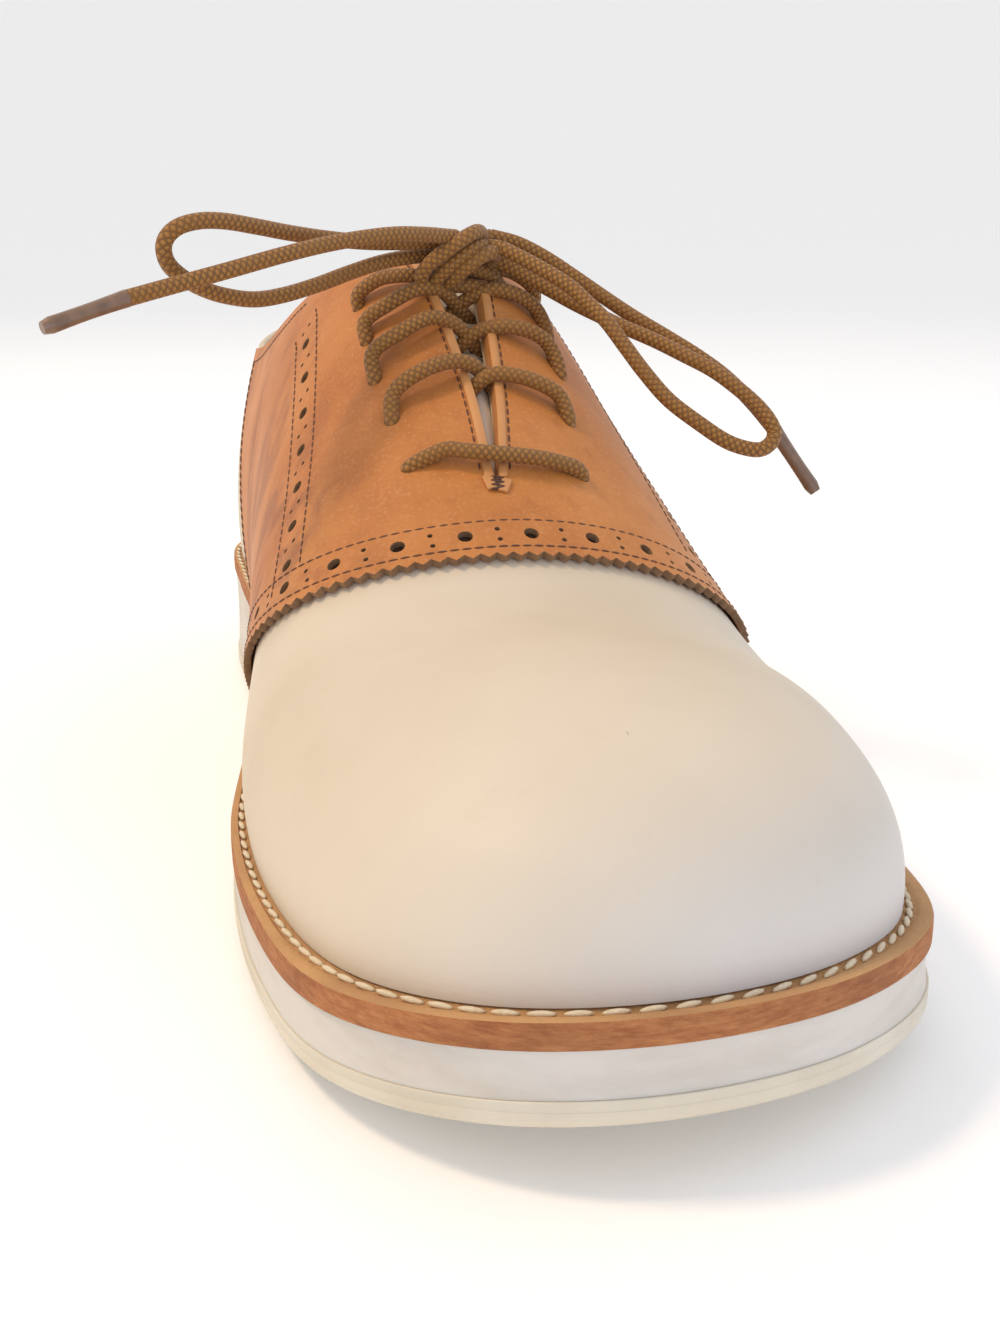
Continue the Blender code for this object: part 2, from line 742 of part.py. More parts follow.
def make_bars(colour):
    """Lace between the eyelets of each row: the lowest lies straight across, the others
    rise over the facings and dip into the slot."""
    clear = LEATHER_GAP + SADDLE_THICKNESS + GAP + LACE / 2
    for row in range(EYELET_ROWS):
        arch = BAR_ARCH if row else FIRST_BAR_ARCH
        ends = {side: eyelet(row, side, clear + EYELET_LIFT)[0] for side in (-1, 1)}
        back = back_of((ends[-1] + ends[1]) / 2)
        t = t_at_back(back)
        halves = {}
        for side in (-1, 1):
            reach = eyelet_reach(row)
            high = last(side * t, v_at_reach(side * t, reach * 0.72), clear + arch * 0.8)
            low = last(side * t, v_at_reach(side * t, reach * 0.40), clear + arch)
            halves[side] = [ends[side], high, low]
        dip = BAR_DIP * (slot_half(back) - SLOT_LOW) if row else -FIRST_BAR_ARCH
        middle = last(t, 1.0, clear - dip)
        line = halves[-1] + [middle] + halves[1][::-1]
        tube(f"lace_bar_{row + 1}", smooth_path(line, 16), LACE, colour)


def make_knot(colour):
    """The outer shape of the bow's knot."""
    work = bmesh.new()
    bmesh.ops.create_uvsphere(work, u_segments=16, v_segments=10, radius=0.5)
    size = Matrix.Diagonal((KNOT_WIDTH, KNOT_LENGTH, KNOT_HEIGHT, 1))
    work.transform(Matrix.Translation(Vector(KNOT_AT) * MM) @ size)
    mesh = bpy.data.meshes.new("lace_knot")
    work.to_mesh(mesh)
    work.free()
    mesh.materials.append(colour)
    mesh.shade_smooth()
    knot = bpy.data.objects.new("lace_knot", mesh)
    bpy.context.scene.collection.objects.link(knot)


def make_bow(lace, metal):
    """Loops and free ends of the lace, tied in a bow."""
    routes = [
        ("lace_loop_medial", LOOP_MEDIAL, 36, lace),
        ("lace_loop_lateral", LOOP_LATERAL, 38, lace),
        ("lace_end_medial", END_MEDIAL, 20, lace),
        ("lace_end_lateral", END_LATERAL, 24, lace),
        ("aglet_medial", AGLET_MEDIAL, 1, metal),
        ("aglet_lateral", AGLET_LATERAL, 1, metal),
    ]
    for name, route, steps, colour in routes:
        points = [Vector(point) * MM for point in route]
        tube(name, smooth_path(points, steps), LACE, colour)


def main():
    for old in list(bpy.data.objects):
        bpy.data.objects.remove(old)
    ivory = material("ivory_leather", "E6DAC2", 0.55)
    tan = material("tan_leather", "C98852", 0.5)
    make_outsole(material("cream_rubber", "D9CFB4", 0.6))
    make_midsole(material("white_foam", "DEDAD4", 0.65))
    make_welt(material("welt_leather", "B07245", 0.75))
    make_insole(material("insole_leather", "C9A679", 0.7))
    make_upper(ivory)
    make_saddle(tan)
    make_tongue(ivory)
    lace = material("waxed_lace", "8A6433", 0.6)
    make_bars(lace)
    make_knot(lace)
    make_bow(lace, material("aglet_plastic", "86695A", 0.4))


main()
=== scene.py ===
# %% [markdown]
# # A saddle shoe, from lasted leather to the tied bow
# This lesson dresses a plain solid model of a left saddle shoe. The shoe is a wedge-soled
# oxford: an ivory upper, a tan saddle over its instep, a welt with a row of stitches and a
# round waxed lace. Each cell makes one piece the way a shoemaker would: leather starts as
# a flat grid, is pulled over the last, gets its thickness, and is punched and stitched.

# %% Load the solid model
import math

import bpy
import numpy as np
from mathutils import Matrix, Vector


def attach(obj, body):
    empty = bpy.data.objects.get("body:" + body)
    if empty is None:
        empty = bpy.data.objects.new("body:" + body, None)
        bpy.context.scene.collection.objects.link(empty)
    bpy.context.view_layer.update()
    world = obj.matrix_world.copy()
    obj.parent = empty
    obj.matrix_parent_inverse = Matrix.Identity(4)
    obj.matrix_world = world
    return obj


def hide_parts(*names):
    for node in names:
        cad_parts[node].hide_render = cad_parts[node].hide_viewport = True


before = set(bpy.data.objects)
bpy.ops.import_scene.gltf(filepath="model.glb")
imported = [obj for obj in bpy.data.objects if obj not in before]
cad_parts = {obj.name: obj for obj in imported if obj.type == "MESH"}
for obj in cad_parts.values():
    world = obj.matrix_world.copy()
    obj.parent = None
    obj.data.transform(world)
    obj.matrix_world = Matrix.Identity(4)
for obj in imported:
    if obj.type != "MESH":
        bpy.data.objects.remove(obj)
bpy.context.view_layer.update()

# %% [markdown]
# ## The sizes of the shoe
# Everything hangs on a few real sizes. Lengths are in metres, and MM keeps them readable.
# "Back" is a distance behind the toe tip; the model's origin is on the floor under the
# middle of the sole, with the toe along -Y and the big-toe (medial) side along -X.

# %% Sizes
MM = 0.001
LENGTH = 300 * MM
BALL_WIDTH = 109 * MM
OUTSOLE_THICKNESS = 3.8 * MM
OUTSOLE_ROUND = 1.5 * MM     # radius of its lower edge
WELT_THICKNESS = 3.9 * MM
WELT_REACH = 4.6 * MM        # how far the welt stands out at the toe
WELT_RING = 11 * MM          # its whole width
TOE_SEAT = 14.4 * MM         # the welt's top at the ball and at the heel
HEEL_SEAT = 29 * MM
TOE_SPRING = 10 * MM
HEEL_SPRING = 1.2 * MM
WALL = 1.7 * MM              # leather and lining together
SADDLE_LOW = 0.6 * MM        # the saddle's underside, over the upper's surface
SADDLE_TOP = 1.9 * MM        # its outer side
LACE = 2.9 * MM
THROAT_FOOT = 116 * MM       # back of the lacing slot's foot
THROAT_TOP = 176 * MM
SADDLE_RIDGE = 100.2 * MM    # back of the pinked edge on the ridge

# %% [markdown]
# ## The last, as a function
# A shoemaker pulls leather over a last, a foot-shaped block. Here the last is a function:
# w goes round the shoe (0 at the toe, -1 or 1 at the heel, negative on the medial side)
# and v goes up from the welt (0) to the ridge of the instep (1). A table gives the sole's
# outline, one the walls and one the ridge. It could be a sculpted mesh, but a function can
# be asked for any point, so stitches and holes land exactly on the leather.

# %% Tables of the last
# t, medial and lateral half widths, medial and lateral reach of the welt
PLAN = np.array([
    (0.0, -0.083, -0.083, 1.00, 1.00), (0.1, -0.297, 0.161, 1.00, 1.00),
    (0.2, -0.442, 0.360, 1.00, 0.95), (0.3, -0.490, 0.455, 0.75, 0.80),
    (0.4, -0.486, 0.503, 0.60, 0.75), (0.5, -0.408, 0.473, 0.55, 0.70),
    (0.6, -0.351, 0.394, 0.45, 0.65), (0.7, -0.341, 0.365, 0.40, 0.75),
    (0.8, -0.319, 0.326, 0.50, 0.80), (0.9, -0.197, 0.197, 0.70, 0.80),
    (1.0, 0.000, 0.000, 0.80, 0.80)])
# t, rise, shoulder and bulge of a wall, each medial then lateral
WALLS = np.array([
    (0.0, 0.62, 0.62, 0.66, 0.66, 0.5, 0.5), (0.1, 0.61, 0.62, 0.67, 0.68, 0.6, 0.5),
    (0.2, 0.60, 0.62, 0.68, 0.68, 0.8, 0.5), (0.3, 0.59, 0.60, 0.69, 0.67, 1.0, 0.6),
    (0.4, 0.57, 0.52, 0.69, 0.59, 1.3, 0.7), (0.5, 0.54, 0.43, 0.67, 0.53, 1.5, 0.7),
    (0.6, 0.52, 0.43, 0.62, 0.53, 1.5, 0.8), (0.7, 0.51, 0.47, 0.57, 0.53, 1.4, 1.0),
    (0.8, 0.51, 0.51, 0.52, 0.51, 1.3, 1.2), (0.9, 0.54, 0.54, 0.50, 0.50, 1.3, 1.3),
    (1.0, 0.55, 0.55, 0.50, 0.50, 1.2, 1.2)])
BULGE = 3 * MM
# t, back, height and sideways place of the ridge
CREST_HEIGHT = 114 * MM
RIDGES = np.array([
    (0.0, 0.100, 0.4377, -0.064), (0.1, 0.105, 0.4393, -0.064), (0.2, 0.127, 0.4462, -0.069),
    (0.3, 0.200, 0.4693, -0.073), (0.4, 0.315, 0.4851, -0.055), (0.5, 0.455, 0.7189, -0.002),
    (0.6, 0.605, 0.9719, 0.005), (0.7, 0.755, 0.9833, 0.005), (0.8, 0.875, 1.0088, 0.000),
    (0.9, 0.945, 1.0044, 0.000), (1.0, 0.965, 1.0000, 0.000)])
# back and height of the collar's edge
BACK_HEIGHT = 86 * MM
COLLAR = np.array([
    (0.50, 1.419), (0.55, 1.314), (0.60, 1.192), (0.65, 1.112), (0.70, 1.045),
    (0.78, 0.960), (0.88, 0.940), (0.97, 0.980), (1.05, 1.020)])
print("last tables:", len(PLAN), "outline rows,", len(RIDGES), "ridge rows")

# %% Smooth curves through table values


def spline(knots, values, x):
    """A smooth curve through the values, at every x of an array."""
    knots, values = np.asarray(knots, float), np.asarray(values, float)
    x = np.clip(x, knots[0], knots[-1])
    i = np.clip(np.searchsorted(knots, x, side="right") - 1, 0, len(knots) - 2)
    before = np.maximum(np.arange(len(knots)) - 1, 0)
    after = np.minimum(np.arange(len(knots)) + 1, len(knots) - 1)
    slope = (values[after] - values[before]) / (knots[after] - knots[before])
    width = knots[i + 1] - knots[i]
    u = (x - knots[i]) / width
    rise = values[i + 1] - values[i]
    bend, turn = slope[i] * width - rise, rise - slope[i + 1] * width
    return values[i] + rise * u + u * (1 - u) * (bend * (1 - u) + turn * u)


def wrapped(w):
    return (np.asarray(w, float) + 1) % 2 - 1


def around(rows, medial, lateral, w):
    """Two columns of a table as one closed curve round the shoe."""
    t = rows[:, 0]
    knots = np.concatenate([-2 + t[-3:-1], -t[::-1], t[1:], 2 - t[-3:-1][::-1]])
    values = np.concatenate([rows[-3:-1, lateral], rows[::-1, medial],
                             rows[1:, lateral], rows[-3:-1, medial][::-1]])
    return spline(knots, values, wrapped(w))


def place(x, back, z):
    return np.stack([x, back - LENGTH / 2, z], -1)


def back_of(points):
    return points[..., 1] + LENGTH / 2


# %% Outline, floor and seat of the sole


def outline(w, inset):
    """The sole's outline from above, moved in by inset: x and back."""

    def raw(q):
        q = wrapped(q)
        back = LENGTH * (1 - np.cos(np.pi * np.abs(q))) / 2
        return np.stack([around(PLAN, 1, 2, q) * BALL_WIDTH, back], -1)

    tangent = raw(w + 0.004) - raw(w - 0.004)
    tangent = tangent / np.linalg.norm(tangent, axis=-1, keepdims=True)
    inward = np.stack([-tangent[..., 1], tangent[..., 0]], -1)
    return raw(w) + inward * np.broadcast_to(inset, np.shape(w))[..., None]


def floor_line(back):
    toe = np.maximum(0, 1 - back / (0.30 * LENGTH))
    heel = np.maximum(0, (back - 0.93 * LENGTH) / (0.07 * LENGTH))
    return TOE_SPRING * toe ** 1.9 + HEEL_SPRING * heel ** 2


def seat_line(back):
    climb = np.clip((back / LENGTH - 0.36) / 0.38, 0, 1)
    climb = climb * climb * (3 - 2 * climb)
    toe = np.maximum(0, 1 - back / (0.30 * LENGTH))
    return TOE_SEAT + (HEEL_SEAT - TOE_SEAT) * climb + TOE_SPRING * toe ** 1.9


def reach(w):
    """How far the welt stands out from the upper."""
    return around(PLAN, 3, 4, w) * WELT_REACH


# %% Points and normals of the last


def ridge(t):
    return place(spline(RIDGES[:, 0], RIDGES[:, 3], t) * BALL_WIDTH,
                 spline(RIDGES[:, 0], RIDGES[:, 1], t) * LENGTH,
                 spline(RIDGES[:, 0], RIDGES[:, 2], t) * CREST_HEIGHT)


def skin(w, v):
    """The upper's outer surface."""
    w, v = np.broadcast_arrays(np.asarray(w, float), np.asarray(v, float))
    t = np.abs(wrapped(w))
    flat = outline(w, reach(w))
    foot = place(flat[..., 0], flat[..., 1], seat_line(flat[..., 1]) + 0.3 * MM)
    top = ridge(t)
    low_t, high_t = ridge(np.maximum(t - 0.05, 0)), ridge(np.minimum(t + 0.05, 1))
    slope = (high_t - low_t)[..., 2] / (high_t - low_t)[..., 1]
    out = foot - top
    out[..., 2] = 0
    height = (top - foot)[..., 2]
    low = foot + out / np.linalg.norm(out, axis=-1, keepdims=True) \
        * (around(WALLS, 5, 6, w) * BULGE)[..., None]
    low[..., 2] += around(WALLS, 1, 2, w) * height
    high = top + out * around(WALLS, 3, 4, w)[..., None]
    high[..., 2] += out[..., 1] * slope * around(WALLS, 3, 4, w)
    u, v = (1 - v)[..., None], v[..., None]
    return foot * u ** 3 + low * 3 * u * u * v + high * 3 * u * v * v + top * v ** 3


def tangents(w, v):
    """Directions round the shoe and up the wall, and the outward normal."""
    round_it = (skin(w + 0.003, v) - skin(w - 0.003, v)) / 0.006
    low, high = np.maximum(v - 0.01, 0), np.minimum(v + 0.01, 1)
    up = (skin(w, high) - skin(w, low)) / (high - low)[..., None]
    out = np.cross(round_it, up)
    return round_it, up, out / np.linalg.norm(out, axis=-1, keepdims=True)


def last(w, v, lift=0.0):
    w, v = np.broadcast_arrays(np.asarray(w, float), np.asarray(v, float))
    lift = np.broadcast_to(lift, w.shape)[..., None]
    return skin(w, v) + tangents(w, v)[2] * lift


# %% Where the collar and the lacing slot cut the last


def slot_half(back):
    share = (back - THROAT_FOOT) / (THROAT_TOP - THROAT_FOOT)
    return (0.9 + 4.6 * share) * MM


def ridge_off(back):
    return spline(RIDGES[:, 1] * LENGTH, RIDGES[:, 3] * BALL_WIDTH, back)


def collar_height(back):
    return spline(COLLAR[:, 0] * LENGTH, COLLAR[:, 1] * BACK_HEIGHT, back)


def outside(points):
    """Above zero where leather is cut away; the corner of the facing is rounded."""
    back, soft = back_of(points), 7 * MM
    over = points[..., 2] - collar_height(back)
    behind = np.maximum(0, back - THROAT_TOP - soft)
    slot = slot_half(back) - np.abs(points[..., 0] - ridge_off(back)) - 2 * behind
    return (over + slot + np.sqrt((over - slot) ** 2 + soft ** 2)) / 2 - soft / 8


def solve(miss, low, high):
    """Where miss crosses zero, by halving."""
    low, high = np.asarray(low, float), np.asarray(high, float)
    for _ in range(24):
        middle = (low + high) / 2
        over = miss(middle) > 0
        high = np.where(over, middle, high)
        low = np.where(over, low, middle)
    return (low + high) / 2


def t_at(back):
    """Where the ridge is at a distance behind the toe."""
    return float(solve(lambda t: back_of(ridge(t)) - back, 0.2, 0.9))


T_FOOT = t_at(THROAT_FOOT)


def trim(w):
    """The v where the wall ends: on the ridge, the facing's edge or the collar."""
    w = np.asarray(w, float)
    cut = solve(lambda v: outside(skin(w, v)), np.full(w.shape, 0.3), np.ones(w.shape))
    return np.where(np.abs(wrapped(w)) <= T_FOOT + 1e-6, 1.0, cut)


print("slot starts at t =", round(T_FOOT, 4), "and the heel's collar is at v =",
      round(float(trim(np.array(1.0))), 3))

# %% [markdown]
# ## Lines and walks on the leather
# A stitch row or a punched band runs beside an edge. creep walks from points on the last
# by a real distance in a chosen direction, and evenly spaces places along a line, each
# with its direction and its normal. Drawing them by eye would drift off the curve.

# %% Walk over the last and space things evenly


def dot(a, b):
    return np.sum(a * b, -1, keepdims=True)


def creep(w, v, heading, distance, steps=8):
    """Walk over the leather from (w, v) along heading."""
    w, v = np.array(w, float), np.array(v, float)
    for _ in range(steps):
        a, b, out = tangents(w, v)
        flat = heading - out * dot(heading, out)
        move = flat / np.linalg.norm(flat, axis=-1, keepdims=True) * distance / steps
        aa, ab, bb = dot(a, a)[..., 0], dot(a, b)[..., 0], dot(b, b)[..., 0]
        am, bm = dot(a, move)[..., 0], dot(b, move)[..., 0]
        gap = aa * bb - ab * ab
        w, v = w + (bb * am - ab * bm) / gap, v + (aa * bm - ab * am) / gap
        over = v > 1
        w, v = np.where(over, -w, w), np.where(over, 2 - v, v)
    return w, v


def lengths(points):
    steps = np.linalg.norm(np.diff(points, axis=0), axis=1)
    return np.concatenate([[0.0], np.cumsum(steps)])


def pick(run, grid, at):
    """Rows of a grid at some distances along a run."""
    return np.stack([np.interp(at, run, grid[:, k]) for k in range(3)], -1)


def evenly(points, out, pitch, start=None):
    """Places a pitch apart along a line: point, direction and normal of each. start is
    the first one's distance, or None to spread them over the whole line."""
    run = lengths(points)
    if start is None:
        count = max(int(round(run[-1] / pitch)), 1)
        at = (np.arange(count) + 0.5) * run[-1] / count
    else:
        at = np.arange(start, run[-1], pitch)
    ahead = pick(run, points, at + 0.2 * MM) - pick(run, points, at - 0.2 * MM)
    return pick(run, points, at), ahead, pick(run, out, at)


def seat(point, ahead, out):
    """The matrix that sets a small piece down: its x along the row, its z outwards."""
    z = Vector(out).normalized()
    y = z.cross(Vector(ahead)).normalized()
    turned = Matrix((y.cross(z), y, z)).transposed()
    return Matrix.Translation(Vector(point)) @ turned.to_4x4()


# %% [markdown]
# ## Tools for making pieces
# A new piece starts as one of Blender's primitives and is shaped by edit-mode operators.
# An operator acts on all that is selected, so only() first clears the selection that the
# loaded model leaves. sheet() is the workhorse: a flat grid whose corners are pulled onto
# a shape, which keeps the grid's own UV map, scaled to real millimetres.

# %% Selection, modifiers and joining


def only(*chosen):
    bpy.ops.object.select_all(action="DESELECT")
    for piece in chosen:
        piece.select_set(True)
    bpy.context.view_layer.objects.active = chosen[0]


def edit(piece, *steps):
    """Run edit-mode operators on the whole piece."""
    only(piece)
    bpy.ops.object.mode_set(mode="EDIT")
    bpy.ops.mesh.select_all(action="SELECT")
    for step in steps:
        step()
    bpy.ops.object.mode_set(mode="OBJECT")


def modify(piece, kind, **settings):
    """Add a modifier and apply it."""
    only(piece)
    made = piece.modifiers.new(kind.title(), kind)
    for name, value in settings.items():
        setattr(made, name, value)
    bpy.ops.object.modifier_apply(modifier=made.name)


def merge():
    bpy.ops.mesh.remove_doubles(threshold=0.00001)


def turn_out():
    bpy.ops.mesh.select_all(action="SELECT")
    bpy.ops.mesh.normals_make_consistent(inside=False)


def fill_ends():
    bpy.ops.mesh.select_all(action="DESELECT")
    bpy.ops.mesh.select_non_manifold(extend=False)
    bpy.ops.mesh.edge_face_add()


def smooth(piece, angle=None):
    only(piece)
    if angle is None:
        bpy.ops.object.shade_smooth()
    else:
        bpy.ops.object.shade_smooth_by_angle(angle=math.radians(angle))


def joined(name, pieces):
    """Some pieces made one, under a new name."""
    only(*pieces)
    if len(pieces) > 1:
        bpy.ops.object.join()
    piece = bpy.context.object
    piece.name = piece.data.name = name
    return piece


def copies(name, model, places):
    """One piece from many copies of a small model, each with its own mesh."""
    made = []
    for spot in places:
        copy = model.copy()
        copy.data = model.data.copy()
        copy.data.transform(spot)
        bpy.context.collection.objects.link(copy)
        made.append(copy)
    bpy.data.objects.remove(model)
    return joined(name, made)


def dress(piece, material, slot, *nodes):
    """Give a piece its finish and the solids that it stands for; slot is not used."""
    if material:
        piece.data.materials.append(material)
    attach(piece, "root")
    if nodes:
        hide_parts(*nodes)


# %% The pulled grid


def sheet(name, columns, rows, shape, uv):
    """A flat grid pulled to shape(column, row); uv is its real size in millimetres."""
    bpy.ops.object.select_all(action="DESELECT")
    bpy.ops.mesh.primitive_grid_add(x_subdivisions=columns, y_subdivisions=rows, size=2)
    piece = bpy.context.object
    piece.name = piece.data.name = name
    flat = np.empty(len(piece.data.vertices) * 3)
    piece.data.vertices.foreach_get("co", flat)
    flat = flat.reshape(-1, 3)
    i = np.rint((flat[:, 0] + 1) / 2 * columns).astype(int)
    j = np.rint((flat[:, 1] + 1) / 2 * rows).astype(int)
    piece.data.vertices.foreach_set("co", shape(i, j).ravel())
    layer = piece.data.uv_layers[0]
    layer.name = "mm"
    spots = np.empty(len(layer.data) * 2)
    layer.data.foreach_get("uv", spots)
    layer.data.foreach_set("uv", (spots.reshape(-1, 2) * uv).ravel())
    piece.data.update()
    return piece


def outward(piece, inside):
    """Turn an open sheet's faces away from a point."""
    middle = Vector(inside)
    total = sum(p.normal.dot(p.center - middle) * p.area for p in piece.data.polygons)
    if total < 0:
        edit(piece, lambda: bpy.ops.mesh.flip_normals())


# %% [markdown]
# ## Helpers for finishes
# Each finish is a Principled shader fed by a few patterns. One function turns an sRGB hex
# colour to the linear values that Blender works in, and one adds a node with its settings
# and its links. coats lays colours over each other the way dye, dirt and wear do, and some
# layers paint in light and shade, so a finish below reads like a recipe.

# %% Colours and nodes


def linear(hex_colour):
    parts = [int(hex_colour[i:i + 2], 16) / 255 for i in (0, 2, 4)]
    return tuple(c / 12.92 if c <= 0.04045 else ((c + 0.055) / 1.055) ** 2.4
                 for c in parts) + (1.0,)


def finish(name, **sockets):
    """A new material, with plain values on its shader's own sockets."""
    made = bpy.data.materials.new(name)
    made.use_nodes = True
    shader = made.node_tree.nodes["Principled BSDF"]
    for socket, value in sockets.items():
        shader.inputs[socket.replace("_", " ")].default_value = value
    return made


def node(made, kind, sockets=(), out=0, **settings):
    """One output of a new node. sockets pairs an input with a value, a hex colour or the
    output of another node."""
    tree = made.node_tree
    new = tree.nodes.new("ShaderNode" + kind)
    for setting, value in settings.items():
        setattr(new, setting, value)
    for socket, value in dict(sockets).items():
        if isinstance(value, bpy.types.NodeSocket):
            tree.links.new(value, new.inputs[socket])
        else:
            new.inputs[socket].default_value = linear(value) if isinstance(value, str) else value
    return new.outputs[out]


def wire(made, **outputs):
    """Feed sockets of the shader with outputs of nodes."""
    shader = made.node_tree.nodes["Principled BSDF"]
    for socket, output in outputs.items():
        made.node_tree.links.new(output, shader.inputs[socket.replace("_", " ")])


def coats(made, colour, *layers):
    """Colours laid over the first one. Each layer fades in as its pattern goes from low
    to high, up to its strength: pattern, low, high, strength, colour."""
    for pattern, low, high, strength, over in layers:
        share = node(made, "MapRange", {0: pattern, 1: low, 2: high, 4: strength})
        colour = node(made, "Mix", {0: share, 6: colour, 7: over}, 2, data_type="RGBA")
    return colour


def speckled(name, scale, detail, low, high, strength=0.0, **sockets):
    """A finish of one fine pattern between two colours, raised by the same pattern."""
    made = finish(name, **sockets)
    where = node(made, "TexCoord", out="Object")
    grain = node(made, "TexNoise", {"Vector": where, "Scale": scale, "Detail": detail})
    wire(made, Base_Color=coats(made, low, (grain, 0.0, 1.0, 1.0, high)))
    if strength:
        wire(made, Normal=node(made, "Bump", {"Strength": strength, "Distance": 0.0002,
                                              "Height": grain}))
    return made


# %% [markdown]
# ## The camera
# The photograph was taken from in front of the toe, a hand above the floor. The camera
# stands at the same place to the shoe, turned to frame this one shoe, so nothing in the
# view is stretched by a shift.

# %% Camera
camera_data = bpy.data.cameras.new("front_camera")
camera_data.lens = 44.6
camera_data.sensor_width = 36
camera_data.clip_start = 0.01
camera = bpy.data.objects.new("front_camera", camera_data)
bpy.context.collection.objects.link(camera)
camera.location = (-0.0741, -0.3150, 0.1162)
aim = Vector((0.0069, 0.0007, 0.0254)) - camera.location
camera.rotation_euler = aim.to_track_quat("-Z", "Y").to_euler()
bpy.context.scene.camera = camera
print("camera to the shoe's middle:", round(aim.length * 1000), "mm")

# %% [markdown]
# ## Waxed cotton for the lace
# The lace is a round braid of cotton yarns, waxed brown. Up close, yarns run round it in
# two directions and make small diamonds, with a painted highlight where they stand proud
# and painted shade between. The pattern follows the cord through its UV map: u once round,
# v in millimetres along.

# %% Lace finish
# Braided waxed cotton: a dry sheen, a painted highlight on the proud yarns and painted shade in
# the grooves, no gloss.
YARNS = 5                    # yarns round the cord in each direction
YARN_PITCH = 2.6             # mm along the cord for one turn of the pattern
waxed = finish("waxed_braided_cotton", Roughness=0.62, Sheen_Weight=0.1, Sheen_Roughness=0.5)
uv = node(waxed, "UVMap", uv_map="mm")
around_cord = node(waxed, "SeparateXYZ", {0: uv}, 0)
along_cord = node(waxed, "SeparateXYZ", {0: uv}, 1)
diamonds = 1.0
for sign in (1, -1):
    side = node(waxed, "Math", {0: around_cord, 1: sign * YARNS}, operation="MULTIPLY")
    rise = node(waxed, "Math", {0: along_cord, 1: 1 / YARN_PITCH * 2, 2: side},
                operation="MULTIPLY_ADD")
    angle = node(waxed, "Math", {0: rise, 1: math.pi}, operation="MULTIPLY")
    wave = node(waxed, "Math", {0: angle}, operation="SINE")
    diamonds = node(waxed, "Math", {0: wave, 1: diamonds}, operation="MULTIPLY")
proud = node(waxed, "Math", {0: diamonds}, operation="ABSOLUTE")
where = node(waxed, "TexCoord", out="Object")
fuzz = node(waxed, "TexNoise", {"Vector": where, "Scale": 900.0, "Detail": 3.0})
worn = node(waxed, "TexNoise", {"Vector": where, "Scale": 90.0, "Detail": 2.0})
height = node(waxed, "Math", {0: fuzz, 1: 0.35, 2: proud}, operation="MULTIPLY_ADD")
# painted highlight on the proud yarns and painted shade in the grooves between them
wire(waxed, Base_Color=coats(waxed, "694312", (proud, 0.0, 0.8, 1.0, "A5712C"),
                             (worn, 0.35, 0.7, 0.55, "875A1E")),
     Normal=node(waxed, "Bump", {"Strength": 0.75, "Distance": 0.0003, "Height": height}))
print("lace finish:", YARNS, "yarns each way,", YARN_PITCH, "mm a turn")

# %% [markdown]
# ## Cords: the bow
# A free lace keeps its thickness and takes a smooth route, held up here by the stiffness
# of the wax. Each loop leaves the knot and comes back to it; each end runs out to its
# aglet. The routes are the solid model's, moved by a millimetre or two beside the knot, so
# that the strands touch. A curve with a round bevel would do, but a tube pulled from a
# grid carries the UV map that the braid needs.

# %% Routes of the bow, in millimetres
LOOP_MEDIAL = [
    (-3.5, 9.1, 109.5), (-11.0, 6.0, 109.4), (-19.0, 2.5, 109.6), (-27.0, -1.5, 110.4),
    (-34.5, -6.0, 111.5), (-41.0, -10.5, 112.7), (-46.5, -14.0, 113.6), (-51.0, -16.5, 113.7),
    (-54.8, -18.0, 112.8), (-57.0, -18.3, 111.0), (-57.6, -18.0, 108.8), (-56.8, -17.2, 106.4),
    (-54.6, -16.0, 104.3), (-51.5, -14.7, 102.4), (-47.5, -12.5, 100.9), (-41.7, -9.0, 99.9),
    (-36.0, -6.0, 100.4), (-29.0, -2.0, 102.0), (-22.5, 2.0, 103.9), (-16.0, 5.5, 105.6),
    (-9.5, 8.8, 106.6), (-3.3, 11.2, 106.9)]
LOOP_LATERAL = [
    (8.8, 7.1, 108.3), (14.0, 3.5, 105.4), (19.8, -1.0, 101.6), (22.8, -4.0, 98.5),
    (25.6, -8.0, 95.0), (28.6, -11.0, 90.3), (31.5, -14.0, 85.7), (35.5, -17.0, 80.6),
    (40.6, -20.0, 76.4), (46.0, -22.0, 72.8), (51.2, -23.0, 71.3), (54.0, -22.8, 72.1),
    (55.4, -22.0, 74.1), (54.7, -21.0, 76.5), (52.9, -19.0, 79.2), (49.8, -17.0, 82.2),
    (45.6, -14.0, 85.6), (40.6, -10.0, 88.5), (36.3, -6.0, 90.9), (31.9, -2.0, 93.0),
    (28.0, 1.5, 95.0), (23.9, 5.0, 97.2), (19.5, 8.0, 99.8), (14.0, 10.5, 103.0),
    (8.4, 11.8, 106.0)]
END_MEDIAL = [
    (-0.7, 5.7, 110.4), (-8.5, 0.5, 111.0), (-16.0, -4.0, 111.0), (-26.5, -9.5, 109.8),
    (-36.0, -14.5, 108.0), (-47.0, -19.5, 105.4), (-56.0, -23.0, 103.3), (-64.5, -26.5, 101.3)]
END_LATERAL = [
    (8.1, 12.7, 110.4), (13.5, 12.3, 109.0), (19.0, 11.2, 106.2), (24.4, 9.5, 102.6),
    (29.8, 7.0, 98.7), (35.2, 3.5, 94.8), (41.0, -0.5, 91.0), (46.2, -4.5, 87.4),
    (50.8, -8.0, 83.6), (55.2, -11.0, 78.8), (58.9, -13.5, 73.9)]
AGLET_MEDIAL = [(-64.5, -26.5, 101.3), (-69.2, -28.4, 99.9), (-78.5, -32.2, 97.0)]
AGLET_LATERAL = [(58.9, -13.5, 73.9), (61.6, -15.3, 69.4), (66.3, -18.3, 61.8)]

# %% Sweep a tube along a route


